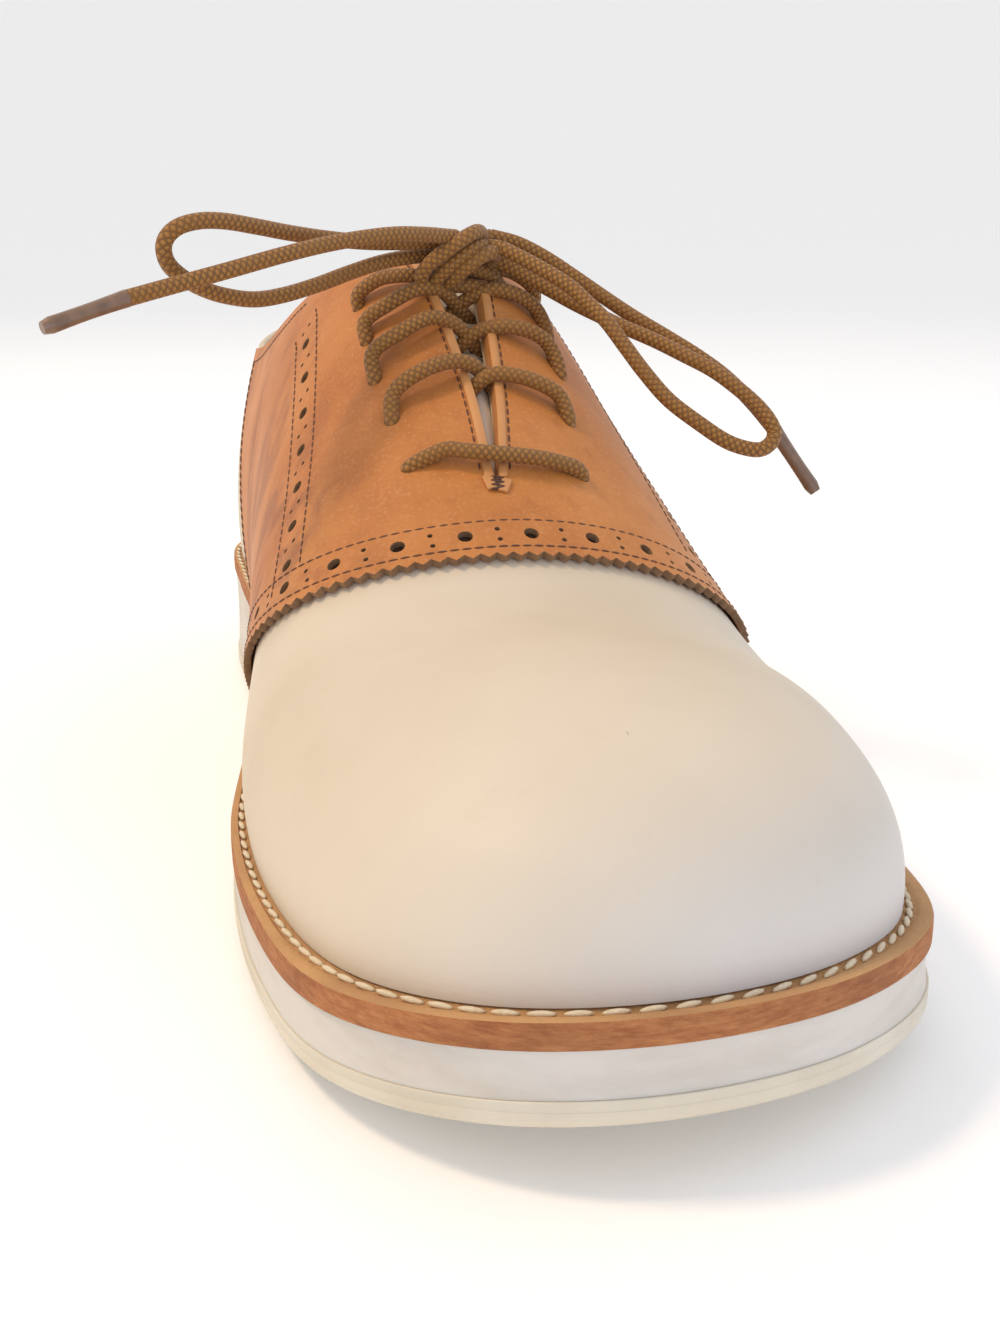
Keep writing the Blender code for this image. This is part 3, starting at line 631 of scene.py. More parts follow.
def smooth_path(points, step=0.7):
    """Points about a step of millimetres apart on a smooth curve, in metres."""
    points = np.asarray(points, float)
    knots = np.arange(len(points))
    fine = np.linspace(0, len(points) - 1, 40 * len(points))
    curve = np.stack([spline(knots, points[:, k], fine) for k in range(3)], -1)
    run = lengths(curve)
    at = np.linspace(0, run[-1], max(int(run[-1] / step), 4) + 1)
    return pick(run, curve, at) * MM


def rings_along(path):
    """Side and up directions that turn as little as possible along a path."""
    ahead = np.gradient(path, axis=0)
    ahead /= np.linalg.norm(ahead, axis=1, keepdims=True)
    up = np.cross(ahead[0], (0.3, 0.5, 0.8))
    sides = []
    for direction in ahead:
        up = up - direction * np.dot(up, direction)
        up = up / np.linalg.norm(up)
        sides.append(up)
    sides = np.array(sides)
    return sides, np.cross(ahead, sides)


def tube(name, path, radius, sides=16):
    """A closed round tube along a path; radius may change from point to point."""
    radius = np.broadcast_to(radius, len(path))
    side, up = rings_along(path)

    def shape(i, j):
        angle = 2 * np.pi * i / sides
        return path[j] + (side[j] * np.cos(angle)[:, None]
                          + up[j] * np.sin(angle)[:, None]) * radius[j][:, None]

    piece = sheet(name, sides, len(path) - 1, shape, (1, lengths(path)[-1] / MM))
    edit(piece, merge, fill_ends, turn_out)
    smooth(piece, 60)
    return piece


# %% [markdown]
# ## The knot
# The knot is the lace itself: a wrap that climbs from lower left to upper right over the
# crossed strands, two turns under it, the first half knot at the bottom, and inside them
# the strands that link loops and ends. Each is a short tube, a real turn of the cord, so
# the knot reads from every side. A rounded lump would not.

# %% Knot strands
KNOT_WRAPS = {
    "wrap": [(2.6, 15.5, 105.5), (-3.5, 12.5, 102.4), (-6.9, 8.2, 102.2), (-6.8, 5.6, 104.4),
             (-4.6, 4.0, 106.8), (-1.4, 3.4, 109.0), (1.9, 4.6, 110.9), (4.7, 8.4, 111.3),
             (6.0, 12.4, 109.6), (4.6, 15.6, 107.4), (1.6, 15.6, 105.4)],
    "under": [(-1.8, 13.4, 101.6), (-1.6, 8.4, 101.4), (0.4, 5.8, 103.8), (3.0, 4.8, 106.0),
              (6.0, 5.8, 107.4), (8.0, 9.0, 106.9), (7.4, 13.0, 105.0), (3.5, 15.0, 103.0)],
    "second": [(-4.4, 13.6, 100.9), (-4.6, 8.6, 101.4), (-3.2, 6.4, 103.6), (-0.6, 5.4, 106.0),
               (2.4, 5.6, 108.0), (5.4, 8.2, 108.6), (6.4, 12.4, 106.8), (3.5, 14.6, 104.4)],
    "core": [(-3.5, 9.1, 109.5), (0.6, 9.0, 108.9), (4.6, 8.6, 108.7), (8.8, 7.1, 108.3)],
    "inner": [(-3.3, 11.2, 106.9), (0.5, 12.6, 107.2), (4.4, 12.8, 107.0), (8.4, 11.8, 106.0)],
    "tail": [(-0.7, 5.7, 110.0), (2.6, 9.6, 109.6), (5.4, 12.0, 109.8), (8.1, 12.7, 110.4)],
    "half_knot": [(-9.0, 12.5, 98.4), (-4.0, 10.6, 100.4), (1.0, 9.8, 101.0), (5.6, 10.8, 100.4),
                  (10.0, 13.5, 97.8)],
    "half_back": [(-7.5, 13.4, 102.2), (-2.0, 11.6, 104.4), (3.0, 11.2, 104.4),
                  (8.0, 12.6, 102.6), (11.0, 14.6, 99.8)],
}
knot = joined("bow_knot", [tube(f"knot_{name}", smooth_path(route, 0.6), LACE / 2)
                           for name, route in KNOT_WRAPS.items()])
dress(knot, waxed, "waxed_lace", "lace_knot")
print("knot:", len(KNOT_WRAPS), "turns of lace")

# %% [markdown]
# ## The free parts of the lace
# Two loops and two ends leave the knot. A loop's path starts and ends in the knot, so both
# its ends are held, and its far end keeps the bend that the wax has set.

# %% Loops
for name, route in (("medial", LOOP_MEDIAL), ("lateral", LOOP_LATERAL)):
    path = smooth_path(route)
    loop = tube(f"bow_loop_{name}", path, LACE / 2)
    dress(loop, waxed, "waxed_lace", f"lace_loop_{name}")

# %% [markdown]
# ## Aglets
# An aglet is a film shrunk over the lace's tip, so the tip can find the eyelet. It is a
# hair wider than the lace at its mouth, pinched along its length and closed at its tip.
# A cylinder would look like a bead, so the tube's radius changes along it instead.

# %% Free ends with their aglets
# Shrunk film: brown, faintly glossy, with long soft flutes from the yarns under it.
film = speckled("shrunk_plastic_film", 420.0, 3.0, "574033", "8F7159", 0.35, Roughness=0.38,
                Coat_Weight=0.2)
for name, route, tip in (("medial", END_MEDIAL, AGLET_MEDIAL),
                         ("lateral", END_LATERAL, AGLET_LATERAL)):
    path, line = smooth_path(route), smooth_path(tip, 0.5)
    end = tube(f"bow_end_{name}", path, LACE / 2)
    share = np.linspace(0, 1, len(line))
    girth = 1.05 - 0.12 * np.sin(np.pi * share) - 0.3 * np.clip(share - 0.9, 0, 1) / 0.1
    aglet = tube(f"aglet_film_{name}", line, LACE / 2 * girth)
    dress(end, waxed, "waxed_lace", f"lace_end_{name}")
    dress(aglet, film, "aglet_plastic", f"aglet_{name}")
    print(f"{name} end: {lengths(path)[-1] * 1000:.0f} mm and its aglet",
          f"{lengths(line)[-1] * 1000:.0f} mm")

# %% [markdown]
# ## The sole: rubber, foam and welt
# Three layers follow one outline. Each is a grid wrapped round the shoe: its columns go
# round, its rows follow the layer's profile, and the first and last rows run to the
# middle line, which closes it above and below. An extruded outline would be quicker, but
# it could not follow the toe spring and the wedge.

# %% Wrap a profile round the sole
ROUND = 320                  # columns round the shoe


def layer(name, base, rings):
    """A layer from its rings: inset, height, and how far in towards the middle line (0 to
    1). An inset may be a function of w. A height is over the base line, or a function of
    back."""

    def shape(i, j):
        w = -1 + 2 * i / ROUND
        points = np.zeros((len(i), 3))
        for k, (inset, height, inwards) in enumerate(rings):
            here = j == k
            flat, other = (outline(q, inset(q) if callable(inset) else inset)
                           for q in (w[here], -w[here]))
            flat = flat + ((flat + other) / 2 - flat) * inwards
            z = height(flat[:, 1]) if callable(height) else base(flat[:, 1]) + height
            points[here] = place(flat[:, 0], flat[:, 1], z)
        return points

    piece = sheet(name, ROUND, len(rings) - 1, shape, (760, 20))
    edit(piece, merge, turn_out)
    smooth(piece, 38)
    return piece


# %% [markdown]
# ### Crepe rubber outsole
# The outsole is a thin slab of natural rubber. Light goes a little way in, so it looks
# creamy at its edge, with a faint step where the sole was trimmed, and its colour is darker
# in the lowest few millimetres. Its lower edge is rounded by wear.

# %% Outsole
# Natural crepe rubber: creamy and a little see-through, with fine crumb, darker towards the
# bottom.
rubber = finish("natural_crepe_rubber", Roughness=0.5, IOR=1.5, Subsurface_Weight=0.25,
                Subsurface_Scale=0.004, Subsurface_Radius=(1.0, 0.85, 0.65))
where = node(rubber, "TexCoord", out="Object")
cloud = node(rubber, "TexNoise", {"Vector": where, "Scale": 55.0, "Detail": 5.0})
crumb = node(rubber, "TexNoise", {"Vector": where, "Scale": 1400.0, "Detail": 2.0})
height = node(rubber, "SeparateXYZ", {0: where}, 2)
wire(rubber, Base_Color=coats(rubber, "D2C7B1", (cloud, 0.35, 0.7, 1.0, "DED5C1"),
                              (height, 0.004, 0.0005, 0.55, "B0A28A")),
     Normal=node(rubber, "Bump", {"Strength": 0.3, "Distance": 0.0001, "Height": crumb}))

under = OUTSOLE_ROUND + 2 * MM
lower_edge = [(OUTSOLE_ROUND * (1 - math.sin(a)), OUTSOLE_ROUND * (1 - math.cos(a)), 0)
              for a in np.linspace(0, math.pi / 2, 7)]
# the wall with its trimming step, and the top, in millimetres
wall = [(inset * MM, height * MM, inwards) for inset, height, inwards in (
    (0.0, 2.25, 0), (0.07, 2.35, 0), (0.07, 2.5, 0), (0.0, 2.62, 0), (0.0, 3.7, 0),
    (0.12, 3.82, 0), (3, 3.82, 0), (3, 3.82, 1))]
outsole = layer("outsole_rubber", floor_line,
                [(under, 0, 1), (under, 0, 0.5), (under, 0, 0.1)] + lower_edge + wall)
dress(outsole, rubber, "cream_rubber", "outsole")
print("outsole:", len(outsole.data.polygons), "faces")

# %% [markdown]
# ### Foam wedge
# The wedge is closed-cell foam, cut and sanded: white, dry, with fine cells and a few
# smears of cement and dust. Its side is slightly hollow from the sanding belt.

# %% Midsole
# Sanded foam: off-white and matt, with pores, smears that run round it and grey specks.
foam = finish("sanded_white_foam", Roughness=0.72, Subsurface_Weight=0.12,
              Subsurface_Scale=0.003)
where = node(foam, "TexCoord", out="Object")
cells = node(foam, "TexVoronoi", {"Vector": where, "Scale": 1500.0}, "Distance")
flattened = node(foam, "Mapping", {0: where, "Scale": (1, 1, 4)})
smear = node(foam, "TexNoise", {"Vector": flattened, "Scale": 30.0, "Detail": 6.0,
                                "Roughness": 0.65})
specks = node(foam, "TexNoise", {"Vector": where, "Scale": 260.0, "Detail": 3.0})
wire(foam, Base_Color=coats(foam, "D6CFC5", (smear, 0.42, 0.68, 1.0, "C8BFB2"),
                            (specks, 0.68, 0.8, 0.35, "A79C90")),
     Normal=node(foam, "Bump", {"Strength": 0.35, "Distance": 0.0001, "Height": cells}))

GLUE = 0.05 * MM             # gap to the layers above and below


def between(share):
    """Part of the way up the visible side of the foam."""
    low, high = OUTSOLE_THICKNESS + GLUE, -WELT_THICKNESS - GLUE
    return lambda back: (floor_line(back) + low) * (1 - share) + (seat_line(back) + high) * share


BED = WELT_RING + 0.3 * MM   # the raised bed inside the welt's ring
hollow = [(inset * MM, between(share), 0) for inset, share in (
    (3, 0), (0.35, 0), (0.4, 0.06), (0.62, 0.3), (0.68, 0.5), (0.62, 0.72), (0.42, 0.95),
    (0.45, 1))]
midsole = layer("midsole_foam", seat_line, [(3 * MM, between(0), 1)] + hollow + [
    (BED, -WELT_THICKNESS - GLUE, 0), (BED, 0, 0), (BED, 0, 1)])
dress(midsole, foam, "white_foam", "midsole")
print("foam is", round(float(between(1)(0.2) - between(0)(0.2)) * 1000, 1), "mm high at 200 mm")

# %% [markdown]
# ### Welt
# The welt is a strip of vegetable-tanned leather round the upper. Its cut edge shows raw
# brick-brown fibres in thin layers, its top is paler and smoother, with a shallow groove
# that the stitches lie in and a raised rim outside it.

# %% Welt
# Vegetable-tanned leather: rough dark layers on the cut edge, a paler top.
welt_finish = finish("veg_tanned_cut_edge", Roughness=0.8)
where = node(welt_finish, "TexCoord", out="Object")
flattened = node(welt_finish, "Mapping", {0: where, "Scale": (1, 1, 5)})
layered = node(welt_finish, "TexNoise", {"Vector": flattened, "Scale": 240.0, "Detail": 6.0,
                                         "Roughness": 0.7})
fibre = node(welt_finish, "TexNoise", {"Vector": where, "Scale": 1100.0, "Detail": 4.0})
patch = node(welt_finish, "TexNoise", {"Vector": where, "Scale": 38.0, "Detail": 3.0})
faces_up = node(welt_finish, "SeparateXYZ",
                {0: node(welt_finish, "NewGeometry", out="Normal")}, 2)
top = coats(welt_finish, "B28558", (patch, 0.3, 0.7, 1.0, "D0A06A"))
rough = node(welt_finish, "Math", {0: layered, 1: 2.0, 2: fibre}, operation="MULTIPLY_ADD")
wire(welt_finish,
     Base_Color=coats(welt_finish, "98552C", (layered, 0.3, 0.7, 1.0, "CC8B54"),
                      (patch, 0.45, 0.75, 0.5, "7C4424"), (faces_up, 0.55, 0.9, 1.0, top)),
     Normal=node(welt_finish, "Bump", {"Strength": 0.8, "Distance": 0.0004, "Height": rough}))

welt = layer("welt_strip", seat_line, [
    (WELT_RING, -WELT_THICKNESS, 0), (0.2 * MM, -WELT_THICKNESS, 0),
    (0.0, -WELT_THICKNESS + 0.2 * MM, 0), (-0.05 * MM, -0.5 * WELT_THICKNESS, 0),
    (0.0, -0.45 * MM, 0), (0.12 * MM, -0.12 * MM, 0), (0.4 * MM, 0.05 * MM, 0),
    (lambda w: np.maximum(reach(w) * 0.45, 0.5 * MM), 0.05 * MM, 0),
    (lambda w: np.maximum(reach(w) - 1.5 * MM, 0.62 * MM), -0.45 * MM, 0),
    (lambda w: np.maximum(reach(w) - 0.6 * MM, 1.0 * MM), -0.45 * MM, 0),
    (lambda w: reach(w) + 0.3 * MM, 0.1 * MM, 0),
    (WELT_RING, 0, 0), (WELT_RING, -WELT_THICKNESS, 0)])
dress(welt, welt_finish, "welt_leather", "welt")
print("welt:", len(welt.data.polygons), "faces")

# %% [markdown]
# ### Lockstitches of the welt
# A heavy cream thread comes up every 4.5 mm, lies in the groove and goes down again. One
# stitch is a small stretched sphere; copies of it are set down round the shoe, each turned
# along the groove. Two of them would be easy by hand, a hundred and fifty are not.

# %% Welt stitches
# Linen thread: matt and pale, with the twist of its plies.
thread = speckled("cream_linen_thread", 1600.0, 2.0, "C9B48E", "F0E4C8", 0.5, Roughness=0.7,
                  Sheen_Weight=0.2)


def grain_of_rice(name, length, width, height):
    """One stitch: a sphere stretched in edit mode."""
    bpy.ops.object.select_all(action="DESELECT")
    bpy.ops.mesh.primitive_uv_sphere_add(segments=8, ring_count=6, radius=0.5)
    stitch = bpy.context.object
    stitch.name = name
    edit(stitch, lambda: bpy.ops.transform.resize(value=(length, width, height)))
    smooth(stitch)
    return stitch


w = np.linspace(-1, 1, 1200)
flat = outline(w, np.maximum(reach(w) - 0.95 * MM, 0.95 * MM))
groove = place(flat[:, 0], flat[:, 1], seat_line(flat[:, 1]) - 0.12 * MM)
up = np.tile((0.0, 0.0, 1.0), (len(w), 1))
spots, aheads, ups = evenly(groove, up, 4.5 * MM)
slant = Matrix.Rotation(math.radians(9), 4, "Z")
stitches = copies("welt_stitches", grain_of_rice("welt_stitch", 3.8 * MM, 0.95 * MM, 0.85 * MM),
                  [seat(p, a, o) @ slant for p, a, o in zip(spots, aheads, ups)])
dress(stitches, thread, "welt_leather")
print("welt stitches:", len(spots))

# %% [markdown]
# ## Leather for the upper
# The upper is smooth calf with a matt ivory finish. Full-grain leather is never even: the
# tone drifts over the skin, pores sit close together, and handling leaves faint marks. The
# lining is thin natural leather, and every cut edge shows paler fibres.

# %% Ivory leather


def pores_and_folds(made, pore_mm, strength, fold_strength, stretch=(1, 1, 1)):
    """Relief of leather: close pores and long soft folds. Returns place and folds."""
    where = node(made, "TexCoord", out="Object")
    pore = node(made, "TexVoronoi", {"Vector": where, "Scale": 1000 / pore_mm,
                                     "Randomness": 0.9}, "Distance", feature="SMOOTH_F1")
    fold = node(made, "TexNoise", {"Vector": node(made, "Mapping", {0: where, "Scale": stretch}),
                                   "Scale": 70.0, "Detail": 5.0, "Roughness": 0.6})
    fine = node(made, "Bump", {"Strength": strength, "Distance": 0.00012, "Height": pore})
    wire(made, Normal=node(made, "Bump", {"Strength": fold_strength, "Distance": 0.0012,
                                          "Height": fold, "Normal": fine}))
    return where, fold


# Matt pigmented calf: a milky, yellowish colour, with a painted cool reflection low on the
# toe and towards its outer side, low broad highlights and hardly any pore relief.
ivory = finish("matt_ivory_calf", Roughness=0.55, Specular_IOR_Level=0.35)
where, fold = pores_and_folds(ivory, 0.9, 0.22, 0.05)
drift = node(ivory, "TexNoise", {"Vector": where, "Scale": 14.0, "Detail": 4.0})
stain = node(ivory, "TexNoise", {"Vector": where, "Scale": 120.0, "Detail": 6.0, "Roughness": 0.7})
low_down = node(ivory, "MapRange", {0: node(ivory, "SeparateXYZ", {0: where}, 2),
                                    1: 0.052, 2: 0.020, 4: 0.9})
outer_side = node(ivory, "MapRange", {0: node(ivory, "SeparateXYZ", {0: where}, 0),
                                      1: -0.045, 2: 0.0})
# painted cool reflection: a cooler white painted low on the toe and its outer side, standing for
# the cool front light and floor
painted_cool_reflection = node(ivory, "Math", {0: low_down, 1: outer_side}, operation="MULTIPLY")
wire(ivory, Base_Color=coats(ivory, "D9CBB5", (drift, 0.35, 0.68, 1.0, "CABBA2"),
                             (painted_cool_reflection, 0.0, 1.0, 1.0, "D6D5D3"), (stain, 0.62, 0.8, 0.3, "C8B898")),
     Roughness=node(ivory, "MapRange", {0: fold, 1: 0.3, 2: 0.7, 3: 0.5, 4: 0.62}))

# Lining: undyed calf, dry and warm. The cut edge of ivory leather: pale fibres.
lining = finish("natural_calf_lining", Roughness=0.75)
where, fold = pores_and_folds(lining, 1.1, 0.2, 0.1)
wire(lining, Base_Color=coats(lining, "C9A880", (fold, 0.0, 1.0, 1.0, "DDC3A0")))
raw_ivory = speckled("raw_edge_pale", 900.0, 4.0, "C7B494", "E6DAC2", Roughness=0.85)
print("leathers:", ivory.name, lining.name, raw_ivory.name)

# %% [markdown]
# ### Lasting the upper
# A flat grid is the cut leather. Its columns go round the shoe from heel to heel and its
# rows climb from the welt; pulled over the last, the two edges meet along the ridge up to
# the slot and at the heel, where merging the doubled corners sews them together. Solidify
# then gives the real 1.7 mm, inwards, with lining and cut edges as their own finishes.

# %% Upper
HALF = 130                   # columns on each side of the shoe
UP = 44                      # rows from the welt to the edge


def stations(count, knee):
    """Even columns with one exactly at the knee."""
    first = int(round(count * knee))
    return np.concatenate([np.linspace(0, knee, first + 1),
                           np.linspace(knee, 1, count - first + 1)[1:]])


half = stations(HALF, T_FOOT)
upper_w = np.concatenate([-half[:0:-1], half])
upper_ends = trim(upper_w)


upper = sheet("upper_leather", 2 * HALF, UP,
              lambda i, j: last(upper_w[i], j / UP * upper_ends[i]), (760, 110))
edit(upper, merge)
outward(upper, (0, 0, 0.04))
for material in (ivory, lining, raw_ivory):
    upper.data.materials.append(material)
modify(upper, "SOLIDIFY", thickness=WALL, offset=-1, material_offset=1, material_offset_rim=2)
smooth(upper, 40)
dress(upper, None, "ivory_leather", "upper")
print("upper:", len(upper.data.polygons), "faces")

# %% [markdown]
# ### Eyelets
# The lace goes straight through the leather here, with no metal. Each hole is punched: a
# Boolean takes a short cylinder out of both layers. An eyelet's place is given for each
# side, by its distance behind the toe and the length of leather down from the ridge,
# because the rows of a worn shoe are never quite level.

# %% Places of the eyelets


def v_at_reach(w, distance):
    """Where a wall is a length of leather down from the ridge."""
    v = np.linspace(1, 0, 121)
    line = skin(np.full(121, w), v)
    return float(np.interp(distance, lengths(line), v))


# back, and the way down from the ridge, in millimetres, for each side's five eyelets
EYELETS = {-1: [(123.1, 14.9), (135.0, 17.2), (147.0, 19.2), (157.6, 19.4), (167.5, 19.5)],
           1: [(121.0, 17.0), (133.9, 16.7), (148.0, 18.5), (159.0, 19.2), (169.5, 19.5)]}


def eyelet(row, side):
    back, down = EYELETS[side][row][0] * MM, EYELETS[side][row][1] * MM
    low, high = 0.3, 0.8
    for _ in range(22):
        t = (low + high) / 2
        v = v_at_reach(side * t, down)
        if back_of(skin(side * t, v)) > back:
            high = t
        else:
            low = t
    return side * t, v


def on_leather(w, v, lift):
    """A line on the leather, and its normals."""
    return last(w, v, lift), tangents(w, v)[2]


eye_w, eye_v = np.array([eyelet(row, side) for row in range(5) for side in (-1, 1)]).T
eye_points, eye_out = on_leather(eye_w, eye_v, 0.0)
eyelets = list(zip(eye_points, tangents(eye_w, eye_v)[1], eye_out))
print("first eyelet: w", round(eye_w[0], 3), "and v", round(eye_v[0], 3))

# %% Punch them


def punch_out(piece, places, radius, low, high, sides, inner):
    """Take short cylinders out of the leather; inner finishes the holes."""
    bpy.ops.object.select_all(action="DESELECT")
    bpy.ops.mesh.primitive_cylinder_add(vertices=sides, radius=radius, depth=high - low,
                                        location=(0, 0, (high + low) / 2))
    punch = bpy.context.object
    bpy.ops.object.transform_apply(location=True)
    punch.data.materials.append(inner)
    cutter = copies("punches", punch, [seat(*spot) for spot in places])
    modify(piece, "BOOLEAN", object=cutter, operation="DIFFERENCE", solver="EXACT",
           material_mode="TRANSFER")
    bpy.data.objects.remove(cutter)


EYELET_RADIUS = 1.55 * MM
punch_out(upper, eyelets, EYELET_RADIUS, -4 * MM, 3 * MM, 16, lining)
smooth(upper, 40)
print("upper after punching:", len(upper.data.polygons), "faces")

# %% [markdown]
# ## Tan leather for the saddle
# The saddle is smooth aniline calf, tanned orange-brown. Dye soaks in unevenly, so it is
# streaky. Over the arch, where the foot bends it, the creases are painted darker: painted
# shade of the folds. The cut edge of the pinked front is burnt dark by the cutting die.

# %% Tan leather
# Aniline calf: uneven dye, fine streaks, painted shade of creases on the arch's side and pale
# specks.
tan = finish("aniline_tan_calf", Roughness=0.5, Specular_IOR_Level=0.35)
where, fold = pores_and_folds(tan, 0.8, 0.3, 0.16, stretch=(1.6, 1.6, 0.35))
cloud = node(tan, "TexNoise", {"Vector": where, "Scale": 26.0, "Detail": 5.0, "Roughness": 0.6})
drawn = node(tan, "Mapping", {0: where, "Scale": (1.8, 1.8, 0.22)})
streak = node(tan, "TexNoise", {"Vector": drawn, "Scale": 130.0, "Detail": 4.0})
speck = node(tan, "TexNoise", {"Vector": where, "Scale": 1300.0, "Detail": 2.0})
drawn = node(tan, "Mapping", {0: where, "Scale": (1.0, 0.7, 0.12)})
crease = node(tan, "TexNoise", {"Vector": drawn, "Scale": 190.0, "Detail": 2.0,
                                "Distortion": 0.3})
arch_side = node(tan, "MapRange", {0: node(tan, "SeparateXYZ", {0: where}, 0),
                                   1: -0.021, 2: -0.036})
# painted crease shade: dark lines on the arch side stand for the shade in its creases
painted_crease_shade = node(tan, "Math", {0: node(tan, "MapRange", {0: crease, 1: 0.5, 2: 0.66, 4: 0.5}),
                             1: arch_side}, operation="MULTIPLY")
wire(tan, Base_Color=coats(tan, "C98341", (cloud, 0.32, 0.7, 1.0, "AF6A32"),
                           (streak, 0.54, 0.78, 0.4, "96562A"), (painted_crease_shade, 0.0, 1.0, 1.0, "7E4526"),
                           (speck, 0.52, 0.8, 0.24, "E0AE80")),
     Roughness=node(tan, "MapRange", {0: cloud, 1: 0.3, 2: 0.7, 3: 0.44, 4: 0.58}))

# A die's burnt cut, with dull fibres, and a dark backing behind the punched holes, painted shade
# that makes the holes read dark.
burnt = speckled("burnt_cut_edge", 800.0, 3.0, "5C4330", "A07C58", Roughness=0.9)
# painted shade: the colour of the dark sheet seen through the punched holes
shade = speckled("painted_shade_backing", 700.0, 3.0, "33221A", "5A402C", Roughness=0.95)
print("tan finishes:", tan.name, burnt.name, shade.name)

# %% [markdown]
# ### Front edge of the saddle
# From the side the front edge runs down from the ridge and forward of the arch. Its points
# are found row by row on the last, then measured along, because teeth, holes and stitches
# are all spaced by real distance along this edge.

# %% Front and rear lines


def front_line(z, side):
    foot, sweep = (157 * MM, 0.87) if side < 0 else (150 * MM, 0.60)
    low = seat_line(foot)
    share = np.clip((z - low) / (RIDGE_AT_SADDLE - low), 0, 1)
    return foot + (SADDLE_RIDGE - foot) * share ** sweep


def rear_line(z, side):
    low, high = seat_line(209 * MM), collar_height(247 * MM)
    return (209 + 38 * (z - low) / (high - low)) * MM


def edge_t(side, share, line):
    """Where a line given from the side crosses the rows of the last."""

    def miss(t):
        points = skin(side * t, share * trim(side * t))
        return back_of(points) - line(points[..., 2], side)

    return solve(miss, np.full(share.shape, 0.25), np.full(share.shape, 0.93))


T_SADDLE = t_at(SADDLE_RIDGE)
RIDGE_AT_SADDLE = float(ridge(T_SADDLE)[2])
TOOTH = 2.7 * MM
TOOTH_DEPTH = 1.2 * MM
saddle_rows = {}
for side in (-1, 1):
    dense = np.linspace(0, 1, 161)
    t = edge_t(side, dense, front_line)
    run = lengths(skin(side * t, dense * trim(side * t)))
    teeth = int(round(run[-1] / TOOTH))
    share = np.interp(np.linspace(0, run[-1], 4 * teeth + 1), run, dense)
    share[0], share[-1] = 0.0, 1.0
    saddle_rows[side] = share
    print("side", side, "front edge", round(run[-1] * 1000), "mm,", teeth, "teeth")

# %% [markdown]
# ### Cutting the saddle
# Each side is a grid from the front edge to the rear one, with four rows to a tooth. The
# first column is pushed out and in by turns, which pinks the edge without any cutting
# tool, and the next columns stay straight. The two sides are sewn together on the ridge by
# merging, and Solidify gives the 1.3 mm of leather.

# %% Saddle
BACKWARDS = 46               # columns from the front edge to the rear edge


def saddle_grid(side, first, lift, toothed):
    """Points of one side. first is how far behind the front edge it starts."""
    share = saddle_rows[side]
    front, rear = edge_t(side, share, front_line), edge_t(side, share, rear_line)
    here = skin(side * front, share * trim(side * front))
    ahead = np.gradient(here, axis=0)
    ahead /= np.linalg.norm(ahead, axis=1, keepdims=True)
    beyond = skin(side * (front + 0.004), share * trim(side * (front + 0.004)))
    per_t = (beyond - here) / 0.004
    square = np.linalg.norm(per_t - ahead * dot(per_t, ahead), axis=1)
    square[-1] = np.linalg.norm(per_t[-1])
    across = stations(BACKWARDS, (T_FOOT - front[-1]) / (rear[-1] - front[-1]))
    wave = np.array([-1.0, 0.0, 1.0, 0.0])[np.arange(len(share)) % 4] * TOOTH_DEPTH / 2
    close = np.array([0.0, 0.9, 1.8, 2.8]) * MM + first

    def shape(i, j):
        behind = close[np.minimum(i, 3)] + np.where((i == 0) & toothed, wave[j], 0)
        t = np.where(i < 4, front[j] + behind / square[j],
                     front[j] + (rear[j] - front[j]) * across[i])
        w = side * t
        on_ridge = (j == len(share) - 1) & (t <= T_FOOT + 1e-6)
        v = np.where(on_ridge, 1.0, share[j] * trim(w))
        both = (last(w, v, lift) + last(-w, v, lift)) / 2
        return np.where(on_ridge[:, None], both, last(w, v, lift))

    return shape


def saddle_piece(name, first, lift, toothed):
    halves = []
    for side in (-1, 1):
        half = sheet(f"{name}_{side}", BACKWARDS, len(saddle_rows[side]) - 1,
                     saddle_grid(side, first, lift, toothed), (110, 95))
        outward(half, (0, -0.02, 0.02))
        halves.append(half)
    piece = joined(name, halves)
    edit(piece, merge)
    return piece


saddle = saddle_piece("saddle_leather", 0.0, SADDLE_TOP, True)
for material in (tan, burnt):
    saddle.data.materials.append(material)
modify(saddle, "SOLIDIFY", thickness=SADDLE_TOP - SADDLE_LOW, offset=-1,
       material_offset=0, material_offset_rim=1)
# only the pinked edge is burnt; the other edges are bound or folded
pinked = np.concatenate([skin(side * edge_t(side, saddle_rows[side], front_line),
                              saddle_rows[side]) for side in (-1, 1)])
for face in saddle.data.polygons:
    if face.material_index == 1:
        gap = np.min(np.linalg.norm(pinked - np.array(face.center), axis=1))
        face.material_index = 1 if gap < 3.2 * MM else 0
dress(saddle, None, "tan_leather", "saddle")
print("saddle:", len(saddle.data.polygons), "faces")

# %% [markdown]
# ### Punched bands
# Brogueing is a row of big holes with a pair of small ones between each two, framed by
# two seams. One band follows the pinked front, the other climbs each side beside the
# facing. The places are worked out once, from the edges, and used for holes and stitches.

# %% Lines of the front band
front_w, front_v = [], []
for side in (-1, 1):
    share = np.linspace(0, 1, 121) if side < 0 else np.linspace(1, 0, 121)[1:]
    t = edge_t(side, share, front_line)
    front_w.append(side * t)
    front_v.append(share * trim(side * t))
front_w, front_v = np.concatenate(front_w), np.concatenate(front_v)
edge_ahead = np.gradient(skin(front_w, front_v), axis=0)
edge_behind = np.cross(tangents(front_w, front_v)[2], edge_ahead)
edge_behind *= np.sign(np.sum(edge_behind[:, 1]))


def front_row(distance, lift):
    """A line on the leather at a distance behind the pinked edge, and its normals."""
    return on_leather(*creep(front_w, front_v, edge_behind, distance), lift)


FRONT_SEAMS = (2.1 * MM, 8.8 * MM)
front_seams = [front_row(distance, SADDLE_TOP) for distance in FRONT_SEAMS]
print("front band:", round(lengths(front_seams[0][0])[-1] * 1000), "mm along its lower seam")

